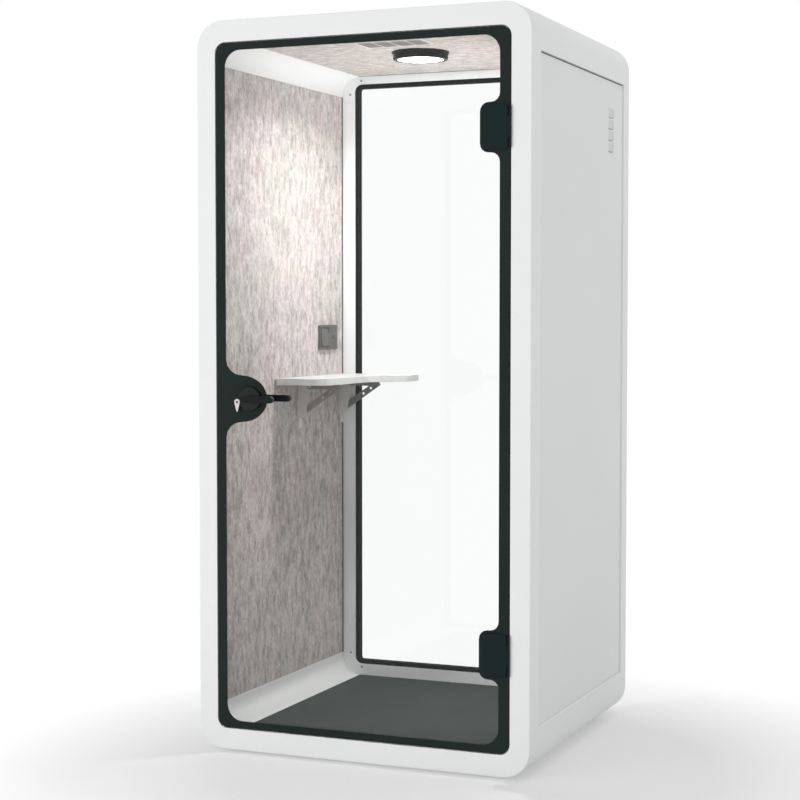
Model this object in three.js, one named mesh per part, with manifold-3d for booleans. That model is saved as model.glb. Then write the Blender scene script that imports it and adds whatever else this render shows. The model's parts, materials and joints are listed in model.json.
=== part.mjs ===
// A single-seat acoustic office pod: a glazed booth with a hinged glass door and a fold-down desk.
// Millimetres. X runs to the right, Y runs into the pod from the door, Z is up.
// The origin lies under the middle of the pod, on the ground.

import * as THREE from 'three';
import { mergeVertices } from 'three/addons/utils/BufferGeometryUtils.js';
import Module from 'manifold-3d';

const wasm = await Module();
wasm.setup();

// Fits
const GAP = 0.3; // clearance between two pieces that touch on the real pod
const RUN_GAP = 0.3; // radial clearance of a pin or shaft in its hole
const OVERCUT = 1; // how far a cutter runs past the face that it opens
const ARC_STEPS = 8; // facets in a quarter turn of a large radius
const FINE_STEPS = 4; // facets in a quarter turn of a small radius
const PIN_STEPS = 3; // facets in a quarter turn of a pin, bolt or hole

// Shell
const POD_WIDTH = 1100;
const POD_DEPTH = 1040; // front face to rear face, without the lever
const SHELL_HEIGHT = 2280; // without the feet
const CORNER_RADIUS = 85; // outer corners, seen from the front
const WALL_THICKNESS = 65; // outer side face to felt face
const FLOOR_THICKNESS = 63; // underside to carpet face
const CEILING_THICKNESS = 63; // roof face to ceiling felt face
const FRONT_FRAME_DEPTH = 84;
const REAR_FRAME_DEPTH = 62;
const COVE_RADIUS = 64; // hollow curve between wall and floor or ceiling
const LOWER_RAIL_LIP = 15; // straight wall of a lower corner rail beyond its cove
const UPPER_RAIL_LIP = 8; // straight wall of an upper corner rail beyond its cove
const PANEL_RECESS = 6; // outer panels lie this far behind the frames
const PANEL_SHEET = 3;
const PANEL_TOP_GAP = 5; // shadow gap above the outer panels
const LINING_THICKNESS = 10; // felt and carpet
const BASE_RECESS = 3; // underside of the floor deck above the rails' underside

// Levelling feet
const FOOT_HEIGHT = 6; // ground to shell underside
const FOOT_PAD_RADIUS = 26;
const FOOT_PAD_HEIGHT = 4;
const FOOT_STEM_RADIUS = 6;
const FOOT_STEM_ENGAGEMENT = 25; // stem length inside the rail
const FOOT_SIDE_INSET = 90; // side face to foot axis
const FOOT_END_INSET = 200; // front or rear face to foot axis

// Louvres in the right-hand outer panel
const LOUVRE_COUNT = 4;
const LOUVRE_LENGTH = 60;
const LOUVRE_HEIGHT = 33;
const LOUVRE_PITCH = 37.5;
const LOUVRE_DEPTH = 4; // pressed in at the lower edge, flush at the upper edge
const LOUVRE_WALL = 1.5;
const LOUVRE_SLOT_HEIGHT = 3;
const LOUVRE_SLOT_INSET = 4;
const LOUVRE_REAR_INSET = 168; // rear face to the louvres' rear end
const LOUVRE_TOP_INSET = 228; // roof face to the top louvre
const AIR_SPACE_DEPTH = 20; // hollow in the acoustic core behind the louvres
const AIR_SPACE_MARGIN = 6; // hollow beyond the louvres

// Rear window
const TRIM_THICKNESS = 20; // white inner frame round the window
const TRIM_SIDE_BAND = 48;
const TRIM_BOTTOM_BAND = 40;
const TRIM_TOP_BAND = 28;
const CORNER_PLATE_THICKNESS = 3;
const CORNER_PLATE_REACH = 94; // from the cabin corner along each side
const CORNER_PLATE_MARGIN = 1;
const BEZEL_FACE = 15;
const BEZEL_CORNER = 24;
const BEZEL_INNER_CORNER = 9;
const BEZEL_SET_BACK = 3; // bezel face behind the trim face
const REAR_LIP_WIDTH = 32; // lip of the rear frame round the bezel, in front of a wider recess
const REAR_LIP_THICKNESS = 6;
const BEZEL_FLANGE_WIDTH = 24; // flange of the bezel behind the lip
const BEZEL_FLANGE_THICKNESS = 3;
const WINDOW_GLASS = 10;
const WINDOW_GLASS_SET_BACK = 13; // glass behind the trim face
const WINDOW_GLASS_BITE = 8; // depth of the glass in its groove

// Door leaf
const DOOR_SIDE_MARGIN = 66.5; // side face to door edge
const DOOR_BOTTOM_MARGIN = 70;
const DOOR_TOP_MARGIN = 71;
const DOOR_CORNER = 29;
const DOOR_GAP = 3.5; // door edge to frame
const DOOR_GLASS = 10;
const BORDER_SIDE_WIDTH = 31.5;
const BORDER_END_WIDTH = 23; // at the top and bottom
const BORDER_FILM = 0.6;
const BORDER_INNER_CORNER = 52;
const SEAL_SPACE = 5.1; // glass to door stop
const SEAL_WIDTH = 8;
const SEAL_INSET = 1; // door edge to seal
const STOP_THICKNESS = 14;
const STOP_OVERLAP = 11; // how far the stop reaches behind the door

// Hinges
const HINGE_LOW = 363; // shell underside to the lower hinge's middle
const HINGE_TOP_INSET = 363; // roof face to the upper hinge's middle
const HINGE_PATCH_WIDTH = 62; // dark patch beyond the plain border
const HINGE_PATCH_HEIGHT = 147;
const HINGE_PATCH_FILLET = 27;
const HINGE_PLATE_WIDTH = 74;
const HINGE_PLATE_HEIGHT = 130;
const HINGE_PLATE_THICKNESS = 4.4;
const HINGE_PLATE_CORNER = 10;
const HINGE_PLATE_INSET = 6; // door edge to plate edge
const HINGE_CLAMP_WIDTH = 62;
const HINGE_CLAMP_STOP_GAP = 1; // door stop's edge to clamp
const HINGE_CLAMP_THICKNESS = 6;
const HINGE_BARREL_RADIUS = 4;
const HINGE_PIN_RADIUS = 1.9;
const HINGE_PIN_HEAD_HEIGHT = 2;
const HINGE_AXIS_OUTSET = 1.5; // hinge axis beyond the door edge
const HINGE_BARREL_GAP = 0.5; // front face to barrel
const HINGE_BARREL_HEIGHT = 120;
const HINGE_MIDDLE_KNUCKLE = 60;
const HINGE_LEAF_THICKNESS = 1.5;
const HINGE_LEAF_DEPTH = 11.5;
const HINGE_BOLT_RADIUS = 5;
const HINGE_BOLT_SPREAD = 70;

// Lock and levers
const LOCK_INSET = 116.5; // door edge to spindle axis
const LOCK_HEIGHT = 1108; // shell underside to spindle axis
const LOBE_REACH = 88.5; // rounded end of the dark lock patch
const LOBE_HALF_HEIGHT = 72.5;
const LOBE_CENTRE_INSET = 86.5; // door edge to the centre of the rounded end
const LOBE_FILLET_HEIGHT = 49;
const ROSE_RADIUS = 37;
const ROSE_THICKNESS = 9;
const SPINDLE_RADIUS = 4.5;
const GLASS_LOCK_HOLE_RADIUS = 8;
const LEVER_REACH = 103; // spindle axis to lever tip
const LEVER_HEIGHT = 21;
const LEVER_THICKNESS = 13;
const LEVER_NECK_RADIUS = 10;
const LEVER_NECK_LENGTH = 30;
const SPINDLE_END_WALL = 5; // lever material beyond the spindle's end
const LOCK_CASE_WIDTH = 123;
const LOCK_CASE_HEIGHT = 96;
const LOCK_CASE_THICKNESS = 24;
const LOCK_CASE_CORNER = 28;
const LOCK_CASE_STOP_GAP = 4; // door stop's edge to case
const LOCK_BOSS_RADIUS = 20;
const LOCK_BOSS_HEIGHT = 6;
const LATCH_HEIGHT = 14;
const LATCH_THICKNESS = 7.4;
const LATCH_LENGTH = 56;
const LATCH_THROW = 13; // latch nose beyond the case
const LATCH_TRAVEL = 12;
const STRIKE_THICKNESS = 1.6;
const STRIKE_HEIGHT = 56;
const STRIKE_SLOT_CLEARANCE = 1.2;
const TURN_ROSE_GAP = 3.5; // edge of the rose to lock turn axis
const TURN_DROP = 10; // lock turn axis below the spindle axis
const TURN_HEAD_RADIUS = 9.5;
const TURN_TAIL = 28;
const TURN_TAIL_RADIUS = 2.2;
const TURN_THICKNESS = 4;
const TURN_STUB_RADIUS = 4;
const TURN_STUB_LENGTH = 4;
const TURN_HOLE_RADIUS = 3.5;
const TURN_HOLE_DEPTH = 2.5;
const TURN_BOSS_RADIUS = 17;

// Desk and its folding brackets
const DESK_HEIGHT = 1156; // shell underside to the working surface
const DESK_THICKNESS = 22;
const DESK_LENGTH = 554;
const DESK_REAR_GAP = 2; // desk to window trim
const DESK_WALL_GAP = 2; // desk to felt
const DESK_NARROW = 193; // felt to desk edge at the front
const DESK_WIDE = 300; // felt to desk edge at the rear
const DESK_FRONT_CORNER = 12; // at the wall
const DESK_FRONT_ROUND = 45; // on the cabin side
const DESK_REAR_CORNER = 16;
const DESK_FLARE_LENGTH = 140; // S-curve between the narrow part and the wide part
const DESK_WIDE_LENGTH = 100; // straight edge of the wide part, with its corner
const BRACKET_FRONT_INSET = 195; // desk front end to the front bracket
const BRACKET_REAR_INSET = 15; // desk rear end to the rear bracket
const LEG_HEIGHT = 151;
const LEG_WIDTH = 26;
const PLATE_THICKNESS = 3; // bracket steel
const PLATE_GAP = 1.3; // between fin, arm and strut
const ARM_PIVOT_REACH = 40; // felt to the desk's folding axis
const ARM_PIVOT_DROP = 10; // underside of the desk to the folding axis
const ARM_TIP = 17; // arm end beyond the catch pin
const ARM_DEPTH = 11; // arm plate below the folding axis
const ARM_FLANGE_WIDTH = 20;
const ARM_FLANGE_BACK = 15; // flange behind the folding axis
const CATCH_REACH = 95; // folding axis to catch pin
const CATCH_DROP = 6; // folding axis to catch pin
const CATCH_RADIUS = 3.5;
const STRUT_PIVOT_REACH = 17; // felt to strut pivot
const STRUT_PIVOT_DROP = 85; // folding axis to strut pivot
const STRUT_HALF_WIDTH = 11;
const STRUT_TIP = 14; // strut end beyond the catch pin
const STRUT_TOOTH = 5; // strut above the catch pin's axis at its tip
const STRUT_HOLE_RADIUS = 4.5;
const STRUT_HOLE_STEPS = [24, 59]; // from the catch pin back along the strut
const RIVET_RADIUS = 3;
const RIVET_HEAD_RADIUS = 5.5;
const RIVET_HEAD_HEIGHT = 2;
const FIN_ROUND = 7; // fin round the folding axis
const FIN_PIVOT_MARGIN = 10; // fin round the strut pivot

// Ceiling light
const CEILING_AXIS = 15; // light, grille and fan to the right of the pod's middle
const LIGHT_OFFSET = -53; // from the pod's middle, in Y
const LIGHT_BODY_RADIUS = 89;
const LIGHT_FLANGE_WIDTH = 4; // beyond the body
const LIGHT_FLANGE_HEIGHT = 6;
const LIGHT_HEIGHT = 26;
const LIGHT_WALL = 15;
const LIGHT_ROOF = 4;
const DIFFUSER_THICKNESS = 5;
const DIFFUSER_SET_BACK = 1;
const DIFFUSER_STEM_RADIUS = 12;

// Ceiling grille and fan
const FAN_FRONT_INSET = 244; // front face to the fan's axis
const GRILLE_WIDTH = 226;
const GRILLE_LENGTH = 118;
const GRILLE_THICKNESS = 4;
const GRILLE_CORNER = 6;
const GRILLE_FIELDS = 4;
const GRILLE_FIELD_WIDTH = 49.5;
const GRILLE_FIELD_PITCH = 54;
const GRILLE_SLOTS = 6;
const GRILLE_SLOT_WIDTH = 9;
const GRILLE_SLOT_PITCH = 16;
const DUCT_SIZE = 100;
const FAN_SIZE = 120;
const FAN_HEIGHT = 25;
const FAN_WALL = 3; // housing round the bore at its thinnest
const FAN_SPOKES = 3;
const FAN_SPOKE_WIDTH = 8;
const FAN_SPOKE_HEIGHT = 3;
const FAN_HUB_RADIUS = 20;
const FAN_HUB_GAP = 1;
const FAN_HUB_HEIGHT = 18;
const FAN_SHAFT_RADIUS = 3;
const FAN_SHAFT_LENGTH = 14;
const FAN_BLADES = 7;
const FAN_BLADE_GAP = 3; // blade tips to bore
const FAN_BLADE_WIDTH = 26;
const FAN_BLADE_THICKNESS = 2;
const FAN_BLADE_PITCH = 35; // degrees

// Switch and socket plate on the left wall
const SOCKET_REAR_INSET = 224.5; // rear face to the plate's middle
const SOCKET_HEIGHT = 1288;
const SOCKET_PLATE_LENGTH = 141;
const SOCKET_PLATE_HEIGHT = 87;
const SOCKET_PLATE_THICKNESS = 10;
const SOCKET_PLATE_CORNER = 5;
const ROCKER_LENGTH = 56;
const ROCKER_HEIGHT = 62;
const ROCKER_THICKNESS = 7;
const ROCKER_PROUD = 2;
const ROCKER_TILT = 4; // degrees either side of level
const ROCKER_END_GAP = 0.8;
const SOCKET_SLOT_HEIGHT = 14;
const SOCKET_SLOT_WIDTH = 3;
const SOCKET_SLOT_SPREAD = 15;
const SOCKET_SLOT_DEPTH = 7;

// Planes and edges that several pieces share
const HALF_WIDTH = POD_WIDTH / 2;
const FRONT = -POD_DEPTH / 2;
const REAR = POD_DEPTH / 2;
const FRAME_BACK = FRONT + FRONT_FRAME_DEPTH;
const REAR_FRAME_FACE = REAR - REAR_FRAME_DEPTH;
const REAR_LIP_BACK = REAR_FRAME_FACE + REAR_LIP_THICKNESS;
const TRIM_FACE = REAR_FRAME_FACE - TRIM_THICKNESS;
const CABIN_HALF = HALF_WIDTH - WALL_THICKNESS;
const CABIN_FLOOR = FLOOR_THICKNESS;
const CABIN_CEILING = SHELL_HEIGHT - CEILING_THICKNESS;
const COVE_EDGE = CABIN_HALF - COVE_RADIUS;
const LOWER_RAIL_LEG = FLOOR_THICKNESS + COVE_RADIUS + LOWER_RAIL_LIP;
const UPPER_RAIL_LEG = CEILING_THICKNESS + COVE_RADIUS + UPPER_RAIL_LIP;
const FELT_BOTTOM = LOWER_RAIL_LEG;
const FELT_TOP = SHELL_HEIGHT - UPPER_RAIL_LEG;
const LINING_SPACE = LINING_THICKNESS + GAP;
const PANEL_OUTER = HALF_WIDTH - PANEL_RECESS;
const PANEL_INNER = PANEL_OUTER - PANEL_SHEET;
const LOUVRE_REAR = REAR - LOUVRE_REAR_INSET;
const LOUVRE_FRONT = LOUVRE_REAR - LOUVRE_LENGTH;
const LOUVRE_TOP = SHELL_HEIGHT - LOUVRE_TOP_INSET;
const ROOF_OUTER = SHELL_HEIGHT - PANEL_RECESS;
const ROOF_INNER = ROOF_OUTER - PANEL_SHEET;
const DOOR_HALF = HALF_WIDTH - DOOR_SIDE_MARGIN;
const DOOR_BOTTOM = DOOR_BOTTOM_MARGIN;
const DOOR_TOP = SHELL_HEIGHT - DOOR_TOP_MARGIN;
const BORDER_BACK = FRONT + BORDER_FILM;
const GLASS_FRONT = BORDER_BACK + GAP;
const GLASS_BACK = GLASS_FRONT + DOOR_GLASS;
const STOP_FRONT = GLASS_BACK + SEAL_SPACE;
const STOP_BACK = STOP_FRONT + STOP_THICKNESS;
const STOP_EDGE = DOOR_HALF - STOP_OVERLAP;
const HINGE_HIGH = SHELL_HEIGHT - HINGE_TOP_INSET;
const LOCK_X = LOCK_INSET - DOOR_HALF;
const FITTING_BACK = FRONT - GAP; // back of what is fixed to the door's front
const CASE_FRONT = GLASS_BACK + GAP; // front of what is fixed to the door's back
const FAN_Y = FRONT + FAN_FRONT_INSET;
const LEVER_PROJECTION = GAP + ROSE_THICKNESS + GAP + LEVER_NECK_LENGTH + LEVER_THICKNESS;

// Finishes
const FINISHES = {
  white_paint: { color: 0xeceded, roughness: 0.42, metalness: 0 },
  white_sheet: { color: 0xdcdddd, roughness: 0.5, metalness: 0 },
  wool_felt: { color: 0xb4a8a2, roughness: 1, metalness: 0 },
  carpet: { color: 0x4c5150, roughness: 1, metalness: 0 },
  foam: { color: 0x8c8a84, roughness: 1, metalness: 0 },
  deck: { color: 0x6b6258, roughness: 0.9, metalness: 0 },
  clear_glass: { color: 0xeef6f4, roughness: 0.04, metalness: 0, transparent: true, opacity: 0.15 },
  dark_border: { color: 0x2d3535, roughness: 0.35, metalness: 0 },
  black_metal: { color: 0x1c2020, roughness: 0.4, metalness: 0.4 },
  black_rubber: { color: 0x161818, roughness: 0.9, metalness: 0 },
  steel: { color: 0xb8b9b6, roughness: 0.3, metalness: 1 },
  white_laminate: { color: 0xf0f0ee, roughness: 0.38, metalness: 0 },
  grey_steel: { color: 0x5b5b5b, roughness: 0.5, metalness: 0.5 },
  pale_steel: { color: 0xb0afa8, roughness: 0.5, metalness: 0.3 },
  grey_plastic: { color: 0x77776f, roughness: 0.5, metalness: 0 },
  dark_plastic: { color: 0x2b2b28, roughness: 0.5, metalness: 0 },
  opal_plastic: { color: 0xfbfbf6, roughness: 0.5, metalness: 0 },
};

// Outlines, as lists of points

function arc(cx, cy, radiusX, radiusY, from, to, steps) {
  const points = [];
  for (let i = 0; i <= steps; i += 1) {
    const angle = THREE.MathUtils.degToRad(from + ((to - from) * i) / steps);
    points.push(new THREE.Vector2(cx + radiusX * Math.cos(angle), cy + radiusY * Math.sin(angle)));
  }
  return points;
}

function circle(cx, cy, radius, steps = PIN_STEPS) {
  return arc(cx, cy, radius, radius, 0, 360, 4 * steps).slice(0, -1);
}

function roundedRectangle(left, right, low, high, radius, steps = FINE_STEPS) {
  return [
    ...arc(right - radius, low + radius, radius, radius, -90, 0, steps),
    ...arc(right - radius, high - radius, radius, radius, 0, 90, steps),
    ...arc(left + radius, high - radius, radius, radius, 90, 180, steps),
    ...arc(left + radius, low + radius, radius, radius, 180, 270, steps),
  ];
}

function mirrored(points) {
  return points.map((point) => new THREE.Vector2(-point.x, point.y)).reverse();
}

function turned(points, degrees, x, y) {
  const centre = new THREE.Vector2();
  const angle = THREE.MathUtils.degToRad(degrees);
  return points.map((point) => point.clone().rotateAround(centre, angle).add(new THREE.Vector2(x, y)));
}

function vectors(pairs) {
  return pairs.map(([x, y]) => new THREE.Vector2(x, y));
}

// The door's outline, grown or shrunk evenly
function doorOutline(grow) {
  const half = DOOR_HALF + grow;
  return roundedRectangle(-half, half, DOOR_BOTTOM - grow, DOOR_TOP + grow, DOOR_CORNER + grow, ARC_STEPS);
}

// The cabin's cross-section behind the door stop, with its coves and the space for felt and carpet
function cabinOutline(inset) {
  const edge = COVE_EDGE - inset;
  const half = CABIN_HALF - inset;
  const lined = CABIN_HALF + LINING_SPACE - inset;
  const curve = COVE_RADIUS - inset;
  const right = [
    ...vectors([[edge, CABIN_FLOOR - LINING_SPACE + inset]]),
    ...vectors([[edge, CABIN_FLOOR + inset]]),
    ...arc(COVE_EDGE, CABIN_FLOOR + COVE_RADIUS, curve, curve, -90, 0, ARC_STEPS),
    ...vectors([[half, FELT_BOTTOM + inset], [lined, FELT_BOTTOM + inset]]),
    ...vectors([[lined, FELT_TOP - inset], [half, FELT_TOP - inset]]),
    ...arc(COVE_EDGE, CABIN_CEILING - COVE_RADIUS, curve, curve, 0, 90, ARC_STEPS),
    ...vectors([[edge, CABIN_CEILING - inset]]),
    ...vectors([[edge, CABIN_CEILING + LINING_SPACE - inset]]),
  ];
  return [...right, ...mirrored(right)];
}

// The rear window's outline at the outside of its bezel, grown or shrunk evenly
function windowOutline(grow, radius) {
  const half = CABIN_HALF - TRIM_SIDE_BAND + grow;
  const low = CABIN_FLOOR + TRIM_BOTTOM_BAND - grow;
  const high = CABIN_CEILING - TRIM_TOP_BAND + grow;
  return roundedRectangle(-half, half, low, high, radius, FINE_STEPS);
}

// Solids

function toSolid(geometry) {
  geometry.deleteAttribute('normal');
  geometry.deleteAttribute('uv');
  const merged = mergeVertices(geometry, 1e-3);
  const mesh = new wasm.Mesh({
    numProp: 3,
    vertProperties: merged.attributes.position.array,
    triVerts: new Uint32Array(merged.index.array),
  });
  return new wasm.Manifold(mesh);
}

// An outline pushed along the axis that its plane leaves out
function prism(plane, outline, from, to, holes = []) {
  const shape = new THREE.Shape(outline);
  shape.holes = holes.map((hole) => new THREE.Path(hole));
  const geometry = new THREE.ExtrudeGeometry(shape, { depth: to - from, bevelEnabled: false });
  if (plane === 'XY') {
    geometry.translate(0, 0, from);
  } else {
    geometry.rotateX(Math.PI / 2);
    if (plane === 'XZ') {
      geometry.translate(0, to, 0);
    } else {
      geometry.rotateZ(Math.PI / 2);
      geometry.translate(from, 0, 0);
    }
  }
  return toSolid(geometry);
}

function box(x0, x1, y0, y1, z0, z1) {
  const geometry = new THREE.BoxGeometry(x1 - x0, y1 - y0, z1 - z0);
  geometry.translate((x0 + x1) / 2, (y0 + y1) / 2, (z0 + z1) / 2);
  return toSolid(geometry);
}

function joined(solids) {
  return solids.reduce((whole, solid) => whole.add(solid));
}

function cut(solid, cutters) {
  return cutters.reduce((rest, cutter) => rest.subtract(cutter), solid);
}

function piece(name, solid, finish) {
  const mesh = solid.getMesh();
  const geometry = new THREE.BufferGeometry();
  geometry.setAttribute('position', new THREE.Float32BufferAttribute(mesh.vertProperties, 3));
  geometry.setIndex(Array.from(mesh.triVerts));
  geometry.computeVertexNormals();
  const result = new THREE.Mesh(geometry, new THREE.MeshStandardMaterial(FINISHES[finish]));
  result.name = name;
  return result;
}

function assembly(...members) {
  const group = new THREE.Group();
  group.add(...members);
  return group;
}

// Front frame: the white ring round the door, with the rebate, the door stop and the latch pocket
function frontFrame() {
  const outer = roundedRectangle(-HALF_WIDTH, HALF_WIDTH, 0, SHELL_HEIGHT, CORNER_RADIUS, ARC_STEPS);
  const pocketHalf = LATCH_HEIGHT / 2 + STRIKE_SLOT_CLEARANCE;
  return cut(prism('XZ', outer, FRONT, FRAME_BACK), [
    prism('XZ', doorOutline(DOOR_GAP), FRONT - OVERCUT, STOP_FRONT),
    prism('XZ', doorOutline(-STOP_OVERLAP), STOP_FRONT - OVERCUT, FRAME_BACK + OVERCUT),
    prism('XZ', cabinOutline(0), STOP_BACK, FRAME_BACK + OVERCUT),
    box(
      -STOP_EDGE - LATCH_THROW - GAP,
      -STOP_EDGE + OVERCUT,
      latchMiddle() - LATCH_THICKNESS / 2 - STRIKE_SLOT_CLEARANCE,
      latchMiddle() + LATCH_THICKNESS / 2 + STRIKE_SLOT_CLEARANCE,
      LOCK_HEIGHT - pocketHalf,
      LOCK_HEIGHT + pocketHalf,
    ),
  ]);
}

// Rear frame: the white ring round the window, with a lip that the bezel's flange lies behind
function rearFrame() {
  const outer = roundedRectangle(-HALF_WIDTH, HALF_WIDTH, 0, SHELL_HEIGHT, CORNER_RADIUS, ARC_STEPS);
  const recess = windowOutline(REAR_LIP_WIDTH, BEZEL_CORNER + REAR_LIP_WIDTH);
  return cut(prism('XZ', outer, REAR_FRAME_FACE, REAR), [
    prism('XZ', windowOutline(GAP, BEZEL_CORNER + GAP), REAR_FRAME_FACE - OVERCUT, REAR + OVERCUT),
    prism('XZ', recess, REAR_LIP_BACK, REAR + OVERCUT),
  ]);
}

// Corner rail: joins the two frames along one long edge, round outside and coved inside
function cornerRail(side, upper) {
  const leg = upper ? UPPER_RAIL_LEG : LOWER_RAIL_LEG;
  const slab = upper ? CEILING_THICKNESS : FLOOR_THICKNESS;
  const inner = WALL_THICKNESS + COVE_RADIUS;
  const section = [
    ...vectors([[0, leg]]),
    ...arc(CORNER_RADIUS, CORNER_RADIUS, CORNER_RADIUS, CORNER_RADIUS, 180, 270, ARC_STEPS),
    ...vectors([[inner, 0]]),
    ...arc(inner, slab + COVE_RADIUS, COVE_RADIUS, COVE_RADIUS, 270, 180, ARC_STEPS),
    ...vectors([[WALL_THICKNESS, leg]]),
  ];
  const outline = section.map(
    (point) => new THREE.Vector2(side * (HALF_WIDTH - point.x), upper ? SHELL_HEIGHT - point.y : point.y),
  );
  const rail = prism('XZ', outline, FRAME_BACK + GAP, REAR_FRAME_FACE - GAP);
  if (upper) {
    return rail;
  }
  const sockets = footPlaces().map((y) =>
    prism(
      'XY',
      circle(side * (HALF_WIDTH - FOOT_SIDE_INSET), y, FOOT_STEM_RADIUS + RUN_GAP),
      -OVERCUT,
      FOOT_STEM_ENGAGEMENT + GAP,
    ),
  );
  return cut(rail, sockets);
}

function footPlaces() {
  return [FRONT + FOOT_END_INSET, REAR - FOOT_END_INSET];
}

// Levelling foot: a round pad with a stem that screws into the rail
function foot(side, y) {
  const x = side * (HALF_WIDTH - FOOT_SIDE_INSET);
  return joined([
    prism('XY', circle(x, y, FOOT_PAD_RADIUS, FINE_STEPS), -FOOT_HEIGHT, FOOT_PAD_HEIGHT - FOOT_HEIGHT),
    prism('XY', circle(x, y, FOOT_STEM_RADIUS), -FOOT_HEIGHT, FOOT_STEM_ENGAGEMENT),
  ]);
}

// A slab of the side wall between the frames and the rails, from one distance off the middle to another
function wallSlab(side, near, far, y0, y1, topGap = GAP) {
  const [x0, x1] = side > 0 ? [near, far] : [-far, -near];
  return box(x0, x1, y0, y1, FELT_BOTTOM + GAP, FELT_TOP - topGap);
}

function outerPanel(side) {
  return wallSlab(side, PANEL_INNER, PANEL_OUTER, FRAME_BACK + GAP, REAR_FRAME_FACE - GAP, PANEL_TOP_GAP);
}

// Right outer panel: the plain panel with a stack of air louvres pressed in near its top rear corner
function louvredPanel() {
  const back = PANEL_OUTER - LOUVRE_DEPTH - LOUVRE_WALL;
  let panel = outerPanel(1);
  for (let i = 0; i < LOUVRE_COUNT; i += 1) {
    const high = LOUVRE_TOP - i * LOUVRE_PITCH;
    const low = high - LOUVRE_HEIGHT;
    const pressing = box(
      back,
      PANEL_OUTER,
      LOUVRE_FRONT - LOUVRE_WALL,
      LOUVRE_REAR + LOUVRE_WALL,
      low - LOUVRE_WALL,
      high,
    );
    const hollow = vectors([
      [PANEL_OUTER, high],
      [PANEL_OUTER - LOUVRE_DEPTH, low],
      [PANEL_OUTER + OVERCUT, low],
      [PANEL_OUTER + OVERCUT, high],
    ]);
    const slot = box(
      back - OVERCUT,
      PANEL_OUTER,
      LOUVRE_FRONT + LOUVRE_SLOT_INSET,
      LOUVRE_REAR - LOUVRE_SLOT_INSET,
      low,
      low + LOUVRE_SLOT_HEIGHT,
    );
    panel = cut(panel.add(pressing), [prism('XZ', hollow, LOUVRE_FRONT, LOUVRE_REAR), slot]);
  }
  return panel;
}

// Acoustic core of a side wall, hollowed behind the louvres on the right
function wallCore(side) {
  const outer = PANEL_INNER - GAP;
  const core = wallSlab(side, CABIN_HALF + LINING_SPACE, outer, FRAME_BACK + GAP, REAR_FRAME_FACE - GAP);
  if (side < 0) {
    return core;
  }
  const bottom = LOUVRE_TOP - (LOUVRE_COUNT - 1) * LOUVRE_PITCH - LOUVRE_HEIGHT;
  const airSpace = box(
    outer - AIR_SPACE_DEPTH,
    outer + OVERCUT,
    LOUVRE_FRONT - AIR_SPACE_MARGIN,
    LOUVRE_REAR + AIR_SPACE_MARGIN,
    bottom - AIR_SPACE_MARGIN,
    LOUVRE_TOP + AIR_SPACE_MARGIN,
  );
  return core.subtract(airSpace);
}

// A slab of the roof or floor between the rails
function deckSlab(y0, y1, z0, z1) {
  const half = COVE_EDGE - GAP;
  return box(-half, half, y0, y1, z0, z1);
}

function ceilingCore() {
  const low = CABIN_CEILING + LINING_SPACE;
  const high = ROOF_INNER - GAP;
  const well = FAN_SIZE / 2 + GAP;
  return deckSlab(FRAME_BACK + GAP, REAR_FRAME_FACE - GAP, low, high).subtract(
    box(
      CEILING_AXIS - well,
      CEILING_AXIS + well,
      FAN_Y - well,
      FAN_Y + well,
      low - OVERCUT,
      high + OVERCUT,
    ),
  );
}

function ceilingFelt() {
  const duct = DUCT_SIZE / 2;
  const high = CABIN_CEILING + LINING_THICKNESS;
  return deckSlab(STOP_BACK + GAP, TRIM_FACE - GAP, CABIN_CEILING, high).subtract(
    box(
      CEILING_AXIS - duct,
      CEILING_AXIS + duct,
      FAN_Y - duct,
      FAN_Y + duct,
      CABIN_CEILING - OVERCUT,
      high + OVERCUT,
    ),
  );
}

// Rear window trim: the white inner ring, with shallow seats for its four corner plates
function trimCorner(side, upper, grow) {
  const reach = CORNER_PLATE_REACH + grow;
  const far = CABIN_HALF + LINING_SPACE + OVERCUT;
  const near = CABIN_HALF - reach;
  const [x0, x1] = side > 0 ? [near, far] : [-far, -near];
  const low = upper ? CABIN_CEILING - reach : CABIN_FLOOR - LINING_SPACE - OVERCUT;
  const high = upper ? CABIN_CEILING + LINING_SPACE + OVERCUT : CABIN_FLOOR + reach;
  return box(x0, x1, TRIM_FACE - OVERCUT, TRIM_FACE + CORNER_PLATE_THICKNESS + grow, low, high);
}

function windowTrim() {
  const ring = prism('XZ', cabinOutline(GAP), TRIM_FACE, REAR_FRAME_FACE - GAP, [
    windowOutline(GAP, BEZEL_CORNER + GAP),
  ]);
  const seats = CORNERS.map(({ side, upper }) => trimCorner(side, upper, GAP));
  return cut(ring, seats);
}

function cornerPlate(side, upper) {
  const back = TRIM_FACE + CORNER_PLATE_THICKNESS;
  const opening = windowOutline(CORNER_PLATE_MARGIN, BEZEL_CORNER + CORNER_PLATE_MARGIN);
  const plate = prism('XZ', cabinOutline(CORNER_PLATE_MARGIN), TRIM_FACE, back, [opening]);
  return plate.intersect(trimCorner(side, upper, 0));
}

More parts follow.
